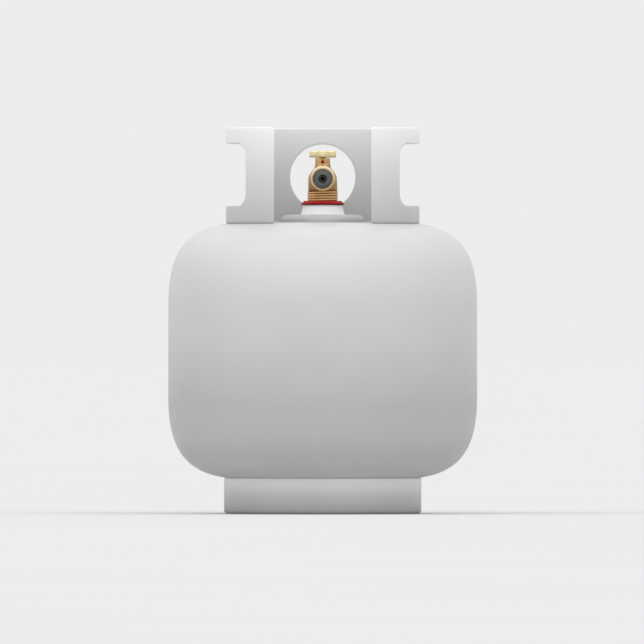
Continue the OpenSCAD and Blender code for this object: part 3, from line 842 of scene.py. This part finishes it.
def curve_slope(t, a, b, c, d):
    return 3 * (1 - t) ** 2 * (b - a) + 6 * (1 - t) * t * (c - b) + 3 * t * t * (d - c)


def shoulder(inset, steps=56):
    """A head's shoulder as (radius, depth from the flat middle), moved inwards by inset."""
    radii = (HEAD_FLAT_R, HEAD_FLAT_R + SHOULDER_REACH, TANK_R, TANK_R)
    depths = (0, 0, HEAD_DEPTH - SHOULDER_RISE, HEAD_DEPTH)
    out = []
    for i in range(steps + 1):
        t = i / steps
        run, fall = curve_slope(t, *radii), curve_slope(t, *depths)
        length = math.hypot(run, fall)
        r = curve(t, *radii) - inset * fall / length
        d = curve(t, *depths) + inset * run / length
        out.append((r, d))
    return out


def head_drop(radius):
    """How far a head has curved away from its flat middle at that radius."""
    table = shoulder(0)
    return float(np.interp(radius, [p[0] for p in table], [p[1] for p in table]))


def head(name, to_z, edge_z, hole_r):
    """One pressed head, from the seam to its flat middle. to_z turns a depth into a height."""
    outside = [(hole_r, to_z(0)), (HEAD_FLAT_R / 2, to_z(0))]
    outside += [(r, to_z(d)) for r, d in shoulder(0)] + [(TANK_R, edge_z)]
    inner_r = TANK_R - SHELL_T
    inside = [(inner_r, edge_z)] + [(r, to_z(d)) for r, d in reversed(shoulder(SHELL_T))]
    inside += [(HEAD_FLAT_R / 2, to_z(SHELL_T)), (hole_r, to_z(SHELL_T))]
    return revolve(name, outside + inside, 256)


def girth_bead(low, high):
    """The low weld bead round the seam, with fine ripples along it."""
    segments, rows, ripples = 1300, 8, 325
    root_r, slant, sunk = TANK_R - 1.2, 2.2, 0.004

    def surface(t, angle):
        swell = math.sin(math.pi * t)
        wave = 0.5 + 0.5 * math.cos(ripples * angle - slant * swell)
        proud = BEAD_H * 0.3 * swell**2 * (0.8 + 0.2 * wave)
        return TANK_R - sunk + proud, low + (high - low) * t

    root = [circle(root_r, z, segments) for z in (high, low)]
    points, faces = skin(rings_of(segments, rows, surface) + root, closed_ends=False)
    return make_object("weld_bead_girth", points, faces, smooth_degrees=60)


def build_vessel(paint):
    upper = head("vessel_upper_shell", lambda d: CROWN_Z - d, SEAM_Z + 0.6, BOSS_R + 0.1)
    lower = head("vessel_lower_shell", lambda d: BOTTOM_Z + d, SEAM_Z - 0.6, 0.0)
    bead = girth_bead(SEAM_Z - 5.0, SEAM_Z + 3.0)
    for thing, node in ((upper, "upper_head"), (lower, "lower_head"), (bead, "girth_weld")):
        dress(thing, paint["vessel"], "tank_paint", node)


# ---- foot ring and collar
def round_loop(centre, radius, steps):
    return [(centre[0] + x, centre[1] + y) for x, y, _ in circle(radius, 0, steps)]


def build_foot_ring(paint):
    """A strip rolled into a ring, with its lower edge turned inwards as a flange."""
    bend_r = 3.4          # outside radius of the bend
    seam_at = math.radians(116)
    wall_l = FOOT_TOP_Z - bend_r
    bend_l = bend_r * math.pi / 2
    flange_l = FOOT_FLANGE_W - bend_r

    def formed(s, w, depth):
        a = seam_at + s / FOOT_R
        if w >= bend_l + flange_l:
            r, z = FOOT_R - depth, bend_r + w - bend_l - flange_l
        elif w >= flange_l:
            b = (w - flange_l) / bend_r
            r = FOOT_R - bend_r + (bend_r - depth) * math.sin(b)
            z = bend_r - (bend_r - depth) * math.cos(b)
        else:
            r, z = FOOT_R - bend_r - (flange_l - w), depth
        return (r * math.cos(a), r * math.sin(a), z)

    length = TURN * FOOT_R
    width = wall_l + bend_l + flange_l
    corners = [(0, 0), (length, 0), (length, width), (0, width)]
    outer = resampled(rounded(corners, 1.0, 3), 3.2)
    holes = []
    for turn in (-1, 0, 1):
        at = (math.pi / 2 + turn * DRAIN_HOLE_STEP - seam_at) % TURN
        centre = (at * FOOT_R, DRAIN_HOLE_Z - bend_r + bend_l + flange_l)
        holes.append(round_loop(centre, DRAIN_HOLE_R, 48))
    ring = sheet_metal("foot_ring_strip", outer, holes, FOOT_T, 0.7, formed, (3.2, 1.2))
    dress(ring, paint["foot"], "foot_ring_paint", "foot_ring")

    inner_r = FOOT_R - FOOT_T
    middles = [TURN * i / 6 for i in range(6)]
    beads = stitch_welds("weld_beads_foot_ring", middles, inner_r, BOTTOM_Z + head_drop(inner_r), -1, -1)
    dress(beads, paint["foot"], "foot_ring_paint", "foot_ring_welds")


def straight_through(angle, radius):
    """The angle at that radius of a cut made straight along X or Y, given its angle at COLLAR_R."""
    quarter = math.pi / 2
    facing = round(angle / quarter) * quarter
    off = angle - facing
    shift = math.asin(COLLAR_R * math.sin(off) / radius) - off
    fade_from, fade_to = math.radians(38), math.radians(44.5)
    keep = min(1.0, max(0.0, (fade_to - abs(off)) / (fade_to - fade_from)))
    return angle + shift * keep


def build_collar(paint):
    """A rolled guard: full-height gap in front, a hand hole each side, a round hole behind."""
    gap = math.asin(FRONT_GAP_HALF / COLLAR_R)
    low, high = COLLAR_LOW_Z, COLLAR_TOP_Z

    def formed(s, w, depth):
        r = COLLAR_R - depth
        a = straight_through(-math.pi / 2 + s / COLLAR_R, r)
        return (r * math.cos(a), r * math.sin(a), w)

    start, end = gap * COLLAR_R, (TURN - gap) * COLLAR_R
    corners = [(start, low), (end, low), (end, high), (start, high)]
    outer = resampled(rounded(corners, [1.6, 1.6, 3.0, 3.0]), 3.0)

    def hole_at(facing, loop):
        """A loop drawn flat, straight through the wall, as it falls on the rolled strip."""
        return [((facing + math.asin(u / COLLAR_R)) * COLLAR_R, z) for u, z in loop]

    w, h, mid = HAND_HOLE_HALF_W, HAND_HOLE_HALF_H, HAND_HOLE_MID_Z
    flat = [(-w, mid - h), (w, mid - h), (w, mid + h), (-w, mid + h)]
    hand_hole = resampled(rounded(flat, HAND_HOLE_CORNER_R, 10), 3.0)
    rear_hole = round_loop((0, REAR_HOLE_Z), REAR_HOLE_R, 96)
    quarter_holes = [(1, hand_hole), (2, rear_hole), (3, hand_hole)]
    holes = [hole_at(quarters * math.pi / 2, loop) for quarters, loop in quarter_holes]
    guard = sheet_metal("collar_guard", outer, holes, COLLAR_T, 1.1, formed, (3.0, 3.0))
    dress(guard, paint["collar"], "collar_paint", "collar")

    for where, degrees, radius, side in (
        ("inside", (-45, 18, 66, 114, 162, 225), COLLAR_R - COLLAR_T, -1),
        ("outside", (42, 90, 138), COLLAR_R, 1),
    ):
        middles = [math.radians(d) for d in degrees]
        height = CROWN_Z - head_drop(radius)
        beads = stitch_welds("weld_beads_collar_" + where, middles, radius, height, side, 1)
        dress(beads, paint["collar"], "collar_paint", "collar_welds")


# ---- boss
def pad_weld():
    """The rippled bead in the corner round the pad."""
    leg, root_r, low_z = 1.0, PAD_R - 0.8, CROWN_Z
    segments, rows, ripples = 540, 6, 110

    def surface(t, angle):
        b = math.pi / 2 * t
        wave = 1 + 0.10 * math.cos(ripples * angle)
        return PAD_R + leg * math.cos(b) * wave, low_z + leg * math.sin(b) * wave

    root = [circle(root_r, z, segments) for z in (low_z + 0.72, low_z)]
    points, faces = skin(rings_of(segments, rows, surface) + root, closed_ends=False)
    return make_object("weld_bead_pad", points, faces)


def build_boss(paint, look):
    round_r, round_steps = 7.0, 16
    bore = BOSS_R + 0.05
    profile = [(bore, CROWN_Z), (PAD_R, CROWN_Z)]
    for i in range(round_steps + 1):
        a = math.pi / 2 * i / round_steps
        profile.append((PAD_R - round_r + round_r * math.cos(a), PAD_TOP_Z - round_r + round_r * math.sin(a)))
    profile += [(bore + 0.3, PAD_TOP_Z), (bore, PAD_TOP_Z - 0.3)]
    dress(revolve("boss_pad_pressing", profile), paint["pad"], "tank_paint", "boss_pad")
    dress(pad_weld(), paint["pad"], "tank_paint", "boss_pad_weld")

    neck_r, bore_top_r, bore_low_r = 20.2, 15.2, 14.2
    flare_steps, flare_h = 20, BOSS_TOP_Z - PAD_TOP_Z - 0.5
    profile = [(BOSS_R, BOSS_LOW_Z)]
    for i in range(flare_steps + 1):
        t = i / flare_steps
        profile.append((neck_r + (BOSS_R - neck_r) * (1 - t) ** 2, PAD_TOP_Z + flare_h * t))
    profile += [
        (neck_r - 0.15, BOSS_TOP_Z - 0.15), (neck_r - 0.5, BOSS_TOP_Z), (bore_top_r, BOSS_TOP_Z),
        (bore_low_r, BOSS_LOW_Z),
    ]
    dress(revolve("boss_neck", profile), paint["boss"], "boss_paint", "valve_boss")

    hole_r, low, high = 15.45, BOSS_TOP_Z + 0.02, RING_TOP_Z
    corners = [(hole_r, low), (RING_R, low), (RING_R, low + 0.9), (NECK_RING_HIGH_R, high), (hole_r, high)]
    ring = revolve("neck_ring_moulding", rounded(corners, [0.2, 0.12, 0.5, 1.1, 0.3], 6))
    dress(ring, look["red"], "red_plastic", "neck_ring")


# ---- valve
def forging_field(p):
    """The hot-forged body: block, shoulders, neck, outlet boss and relief boss, all blended."""
    corner_r = 17.4
    relief_boss_r, relief_boss_end = 8.95, 25.9
    ts = np.linspace(0, 1, 25)
    heights = curve(ts, BLOCK_TOP_Z - 3, BLOCK_TOP_Z + 5.2, BLOCK_TOP_Z + 9.3, TOWER_LOW_Z + 0.3)
    reaches = curve(ts, corner_r - 0.2, BLOCK_HALF - 0.3, BLOCK_HALF - 4, TOWER_R + 0.1)
    radial = np.hypot(p[..., 0], p[..., 1])
    shoulders = (radial - np.interp(p[..., 2], heights, reaches)) * 0.8
    low, high = THREAD_TOP_Z - 0.1, TOWER_LOW_Z + 3
    block = bar(p, (0, 0, (low + high) / 2), (BLOCK_HALF, BLOCK_HALF, (high - low) / 2), 0.8)
    block = smooth_meet(smooth_meet(block, radial - corner_r, 1.6), shoulders, 1.8)
    solid = smooth_union(block, post(p, TOWER_R, TOWER_LOW_Z - 6, TOWER_TOP_Z - 0.02), 1.6)
    solid = smooth_union(solid, pipe(p, OUTLET_Z, OUTLET_R - 0.1, OUTLET_Y + 7.5, 0), 2.2)
    solid = smooth_union(solid, pipe(p, RELIEF_Z, relief_boss_r, 0, relief_boss_end), 2.0)
    for hole in (
        pipe(p, OUTLET_Z, 10.7, OUTLET_Y - 5, OUTLET_Y + 16),      # round the machined outlet
        pipe(p, OUTLET_Z, 5.6, OUTLET_Y - 5, -6.2),                # the check's chamber
        post(p, 5.1, TOWER_LOW_Z + 3, TOWER_TOP_Z + 5),            # for the bonnet
        pipe(p, RELIEF_Z, 6.2, 13, 40),                            # the relief valve's chamber
        pipe(p, BLEED_Z, 1.25, -12, -5.5),                         # for the bleed screw
    ):
        solid = smooth_cut(solid, hole, 0.25)
    return solid


def external_thread(phase, along):
    """Radius of the exposed shank: broad rounded ridges with a narrow groove each pitch."""
    start = 0.37
    ridge = min(1.0, 2.1 * (0.5 - 0.5 * math.cos(TURN * (phase - start))))
    fade = min(1.0, along / 0.04, (1 - along) / 0.03)
    return THREAD_CORE_R + (THREAD_R - THREAD_CORE_R - 0.01) * math.sin(math.pi / 2 * ridge) * fade


def internal_thread(phase, along):
    """Radius of the outlet's bore: crests at the bore's own radius, roots cut outwards."""
    root = max(0.0, 1 - abs(phase - 0.5) / 0.34)
    fade = min(1.0, max(0.0, (along - 0.10) / 0.06), max(0.0, (0.97 - along) / 0.06))
    return OUTLET_BORE_R + 0.62 * min(1.0, root * 1.3) * fade


def build_valve_body(look):
    low = (-THREAD_R - 1, OUTLET_Y + 5, THREAD_TOP_Z - 3)
    high = (THREAD_R + 1, 27.5, TOWER_TOP_Z + 2)
    forging = field_solid("valve_forging", forging_field, low, high, 0.42)
    dress(forging, look["forged"], "valve_brass", "valve_body")

    segments = 144
    rings = [circle(r, z, segments) for r, z in (
        (14.05, VALVE_LOW.z), (14.1, VALVE_LOW.z + 1), (14.95, RING_TOP_Z - 1), (THREAD_CORE_R, RING_TOP_Z),
    )]
    rings += threaded_wall(external_thread, RING_TOP_Z + 0.02, THREAD_TOP_Z, THREAD_PITCH, 1, segments, 110)
    points, faces = skin(rings)
    shank = make_object("valve_shank_thread", points, faces, smooth_degrees=70)
    # rim marks the thread roots, where the thread brass lays painted shade
    depth = [THREAD_R - math.hypot(x, y) if z > RING_TOP_Z else 0.0 for x, y, z in points]
    store(shank, "rim", [min(1.0, max(0.0, (d - 0.25) / 0.7)) for d in depth])
    dress(shank, look["thread"], "valve_brass", "valve_body")
    dress(outlet_nose(), look["turned"], "valve_brass", "valve_body")


def outlet_nose():
    """The machined front of the outlet: a chamfered face, and a bore with a left-hand thread."""
    segments, pitch, sleeve_r = 144, 1.81, 10.68
    face = -OUTLET_Y
    deep = face - 13.0
    rings = threaded_wall(internal_thread, deep, face - 0.55, pitch, -1, segments, 120)
    rings += [circle(r, z, segments) for r, z in (
        (OUTLET_BORE_R + 0.25, face - 0.2), (OUTLET_BORE_R + 0.5, face - 0.03), (OUTLET_BORE_R + 0.62, face),
        (OUTLET_R - 0.75, face), (OUTLET_R - 0.35, face - 0.08), (OUTLET_R - 0.1, face - 0.3),
        (OUTLET_R, face - 0.7), (OUTLET_R, face - 7.2), (OUTLET_R - 0.12, face - 7.4),
        (sleeve_r, face - 7.45), (sleeve_r, deep), (sleeve_r - 0.08, deep - 0.02),
    )]
    points, faces = skin(rings, closed_ends=False)
    return place("valve_outlet_nose", points, faces, (0, 0, OUTLET_Z), "-Y", 40)


def build_outlet(look):
    """The parts in the outlet. Their profiles run forwards, so heights are distances along -Y."""
    front, back, lip = -SEAL_LOW.y, -SEAL_HIGH.y, 0.45
    seal_r = 10.5
    corners = [
        (SEAL_HOLE_R, back), (seal_r, back), (seal_r, front - 0.3), (seal_r - 1.1, front),
        (SEAL_HOLE_R + 1.9, front), (SEAL_HOLE_R + 1.1, front - lip), (SEAL_HOLE_R, front - lip),
    ]
    profile = rounded(corners, [0.2, 0.2, 0.2, 0.3, 0.3, 0.3, 0.5])
    seal = revolve("outlet_seal_ring", profile, 128, (0, 0, OUTLET_Z), "-Y")
    dress(seal, look["rubber"], "seal_rubber", "outlet_seal")

    low, high = box_mm("check_plunger")
    tip, tail = -low.y, -high.y
    flange_r, flange_top, pin_r = 5.2, tail + 2.0, 3.8
    core_r, core_z = 2.3, tip - 4.0
    corners = [
        (0, tail), (flange_r, tail), (flange_r, flange_top), (pin_r, flange_top), (pin_r, tip),
        (core_r, tip), (core_r - 0.3, core_z), (0, core_z),
    ]
    profile = rounded(corners, [0, 0.3, 0.3, 0.2, 0.4, 0.2, 0.2, 0])
    plunger = revolve("check_plunger_moulding", profile, 96, (0, 0, OUTLET_Z), "-Y")
    # rim marks the plunger's dimple, where the check plastic lays painted shade
    in_core = []
    for vertex in plunger.data.vertices:
        x, y, z = vertex.co / MM
        in_core.append(math.hypot(x, z - OUTLET_Z) < core_r + 0.05 and y < 1 - core_z)
    store(plunger, "rim", in_core)
    dress(plunger, look["check"], "check_plastic", "check_plunger", body="check")

    low, high = box_mm("check_spring")
    spring = coil("check_spring_coil", 4.4, 0.35, -high.y, -low.y, 3, OUTLET_Z, "-Y")
    dress(spring, look["steel"], "spring_steel", "check_spring")
    shorten(spring, "check_spring")


def eased(value):
    """value held from 0 to 1, and eased in and out between them."""
    t = np.clip(value, 0, 1)
    return t * t * (3 - 2 * t)


def wheel_field(p):
    """The cast handwheel: three lobes and a hub joined by thinner webs, with fluted lobe rims."""
    x, y, z = np.moveaxis(p, -1, 0)
    hub_r, foot_r, web_r, flute_depth = 6.5, 7.25, 3.0, 0.12
    web_half, lobe_half, hub_half = 2.5, 3.3, (WHEEL_HIGH.z - WHEEL_LOW.z) / 2
    radial = np.hypot(x, y)
    plan = radial - hub_r
    lobe_near = np.full(x.shape, np.inf)
    for degrees in (-90, 30, 150):
        a = math.radians(degrees)
        cx, cy = LOBE_REACH * math.cos(a), LOBE_REACH * math.sin(a)
        along = np.clip((x * cx + y * cy) / LOBE_REACH**2, 0, 1)
        web = np.hypot(x - cx * along, y - cy * along) - web_r
        gap = np.hypot(x - cx, y - cy)
        flute = flute_depth * np.cos(14 * np.arctan2(y - cy, x - cx)) * np.clip((gap - 2.5) / 1.2, 0, 1)
        lobe = gap - (LOBE_R - flute_depth) - flute
        plan = smooth_union(smooth_union(plan, web, 1.4), lobe, 1.0)
        lobe_near = np.minimum(lobe_near, gap)
    at_lobe, at_hub = eased((5.4 - lobe_near) / 2.4), eased((7.2 - radial) / 3.8)
    thick = web_half + (lobe_half - web_half) * at_lobe + (hub_half - web_half) * at_hub
    slab = (np.abs(z - (WHEEL_LOW.z + WHEEL_HIGH.z) / 2) - np.minimum(thick, hub_half)) * 0.9
    solid = smooth_meet(plan, slab, 0.6)
    solid = smooth_union(solid, post(p, foot_r, WHEEL_LOW.z + 0.02, WHEEL_LOW.z + 1.15), 0.5)
    screw_recess = post(p, 3.35, WHEEL_HIGH.z - 1.6, WHEEL_HIGH.z + 5)
    stem_square = bar(p, (0, 0, WHEEL_LOW.z), (2.15, 2.15, 5.7), 0.05)
    return smooth_cut(smooth_cut(solid, screw_recess, 0.3), stem_square, 0.3)


def build_handwheel(look):
    low, high = [c - 1 for c in WHEEL_LOW], [c + 1 for c in WHEEL_HIGH]
    wheel = field_solid("handwheel_casting", wheel_field, low, high, 0.26)
    dress(wheel, look["pale"], "pale_brass", "handwheel", body="handwheel")

    low, high = box_mm("handwheel_screw")
    dome_r, head_r, shaft_r = 5.15, 2.95, 1.4

    def screw_field(p):
        shaft = post(p, shaft_r, low.z + 0.1, high.z - 1)
        dome = ball(p, (0, 0, high.z - 0.05 - dome_r), dome_r)
        cap = smooth_meet(dome, post(p, head_r, high.z - 1.25, high.z + 1), 0.3)
        slot_cut = bar(p, (0, 0, high.z), (4, 0.42, 0.75), 0.05)
        return smooth_cut(smooth_union(shaft, cap, 0.2), slot_cut, 0.15)

    reach = 3.6
    box_low, box_high = (-reach, -reach, low.z - 0.5), (reach, reach, high.z + 0.5)
    screw = field_solid("handwheel_screw_detail", screw_field, box_low, box_high, 0.16)
    dress(screw, look["steel"], "spring_steel", "handwheel_screw", body="handwheel")


def build_bonnet(look):
    low, high = box_mm("bonnet")
    bore_r, body_r, flange_r, flange_z = 3.05, 4.98, 7.35, TOWER_TOP_Z
    corners = [
        (bore_r, low.z), (body_r, low.z), (body_r, flange_z), (flange_r, flange_z), (flange_r, high.z),
        (bore_r, high.z),
    ]
    profile = rounded(corners, [0.2, 0.3, 0, 0.15, 0.35, 0.25], 4)
    dress(revolve("bonnet_turning", profile, 96), look["thread"], "valve_brass", "bonnet")


def build_bleed_screw(look):
    tip, top = BLEED_HIGH.y, BLEED_LOW.y
    dome_r, head_r, shaft_r, reach = 3.2, 1.68, 1.18, 2.3

    def field(p):
        shaft = pipe(p, BLEED_Z, shaft_r, top + 0.6, tip)
        cap = pipe(p, BLEED_Z, head_r, top + 0.02, top + 1.4)
        cap = smooth_meet(cap, ball(p, (0, top + dome_r, BLEED_Z), dome_r), 0.3)
        slot_cut = bar(p, (0, top, BLEED_Z), (0.28, 0.6, 3), 0.05)
        return smooth_cut(smooth_union(shaft, cap, 0.15), slot_cut, 0.12)

    low, high = (-reach, top - 0.6, BLEED_Z - reach), (reach, tip + 0.6, BLEED_Z + reach)
    screw = field_solid("bleed_screw_detail", field, low, high, 0.12)
    dress(screw, look["red_paint"], "red_plastic", "bleed_screw", body="bleed")


def build_relief(look):
    rim, end = RELIEF_LOW.y, RELIEF_HIGH.y
    outer_r = (RELIEF_HIGH.z - RELIEF_LOW.z) / 2
    wall_t, dimple_r, ribs, rib_depth = 1.2, 5.5, 24, 0.144

    def field(p):
        grip = rib_depth * np.cos(ribs * np.arctan2(p[..., 2] - RELIEF_Z, p[..., 0]))
        shell = pipe(p, RELIEF_Z, outer_r - 0.17, rim + 0.05, end - 0.05) - grip
        bore = pipe(p, RELIEF_Z, outer_r - wall_t, rim - 4, end - wall_t)
        dimple = pipe(p, RELIEF_Z, dimple_r, end - 0.45, end + 4)
        return smooth_cut(smooth_cut(shell, bore, 0.2), dimple, 0.4)

    reach = outer_r + 0.8
    low, high = (-reach, rim - 0.8, RELIEF_Z - reach), (reach, end + 0.8, RELIEF_Z + reach)
    cap = field_solid("relief_cap_moulding", field, low, high, 0.3)
    dress(cap, look["yellow"], "cap_plastic", "relief_cap", body="relief_cap")

    low, high = box_mm("relief_spring")
    spring = coil("relief_spring_coil", 4.2, 0.5, low.y, high.y, 4, RELIEF_Z, "Y")
    dress(spring, look["steel"], "spring_steel", "relief_spring")
    shorten(spring, "relief_spring")


def paint_hidden_pieces(look):
    """Materials for the CAD pieces that stay as they are, inside the valve and the vessel."""
    chosen = {
        "stem": "turned", "stem_o_rings": "black", "seat_plug": "turned", "seat_disc": "nylon",
        "relief_poppet": "turned", "relief_disc": "rubber", "relief_adjuster": "turned",
        "dip_tube": "copper", "float_housing": "nylon", "float_poppet": "black",
        "float_pin": "steel", "float_arm": "black", "float": "black",
    }
    for node, key in chosen.items():
        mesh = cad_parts[node].data
        mesh.materials.clear()
        mesh.materials.append(look[key])


# ---- studio
def build_stage():
    """A wide pale floor. Far away it meets the sky, which is as bright as the floor there."""
    segments, rows, inner_r, growth = 96, 18, 0.6, 1.35
    points, faces = [(0.0, 0.0, 0.0)], []
    for j in range(rows):
        points += circle(inner_r * growth**j, 0.0, segments)
    for k in range(segments):
        n = (k + 1) % segments
        faces.append((0, 1 + k, 1 + n))
        for j in range(rows - 1):
            a = 1 + j * segments
            faces.append((a + k, a + segments + k, a + segments + n, a + n))
    mesh = bpy.data.meshes.new("studio_floor")
    mesh.from_pydata(points, [], faces)
    floor = linked("studio_floor", mesh)
    s = new_material("floor_paper")
    tone = s.tinted((0.566, 0.566, 0.566), s.vary(0.99, 1.01, 2.0, 2))
    mesh.materials.append(s.finish(Roughness=1.0, IOR=1.2, Base_Color=tone))


def build_sky():
    """Even light all round, stronger from overhead."""
    world = bpy.data.worlds.new("studio_sky")
    bpy.context.scene.world = world
    s = Shader(world, "Generated")
    background = s.tree.nodes["Background"]
    tone = s.ramp(s.height(), [(0.03, (0.66, 0.66, 0.66)), (0.9, (1.0, 1.0, 1.0))])
    s.feed(background.inputs["Color"], tone)
    s.feed(background.inputs["Strength"], 1.28)


def add_sun(name, azimuth, elevation, strength, softness):
    """A soft sun. Azimuth 0 shines from the front, and 90 from the object's right."""
    data = bpy.data.lights.new(name, "SUN")
    data.energy = strength
    data.angle = math.radians(softness)
    a, e = math.radians(azimuth), math.radians(elevation)
    from_where = Vector((math.sin(a) * math.cos(e), -math.cos(a) * math.cos(e), math.sin(e)))
    linked(name, data).rotation_euler = from_where.to_track_quat("Z", "Y").to_euler()


def build_camera():
    """Dead level, from the front, far away with a long lens, so that there is hardly any perspective."""
    data = bpy.data.cameras.new("camera")
    data.lens = 1600.0
    data.sensor_width = 36.0
    frame_width = 0.6463     # metres across the picture at the object
    distance = frame_width * data.lens / data.sensor_width
    camera = linked("camera", data)
    camera.location = (-0.0007, -distance, 0.1923)
    camera.rotation_euler = (math.pi / 2, 0, 0)
    data.clip_end = 400
    bpy.context.scene.camera = camera


def main():
    scene = bpy.context.scene
    scene.view_settings.view_transform = "Standard"
    build_camera()
    build_stage()
    build_sky()
    add_sun("key_left", -42, 36, 0.92, 70)
    add_sun("key_right", 42, 36, 0.8, 70)
    paint, look = paints(), other_materials()
    build_vessel(paint)
    build_foot_ring(paint)
    build_collar(paint)
    build_boss(paint, look)
    build_valve_body(look)
    build_outlet(look)
    build_bonnet(look)
    build_handwheel(look)
    build_bleed_screw(look)
    build_relief(look)
    paint_hidden_pieces(look)


main()
bpy.context.view_layer.update()
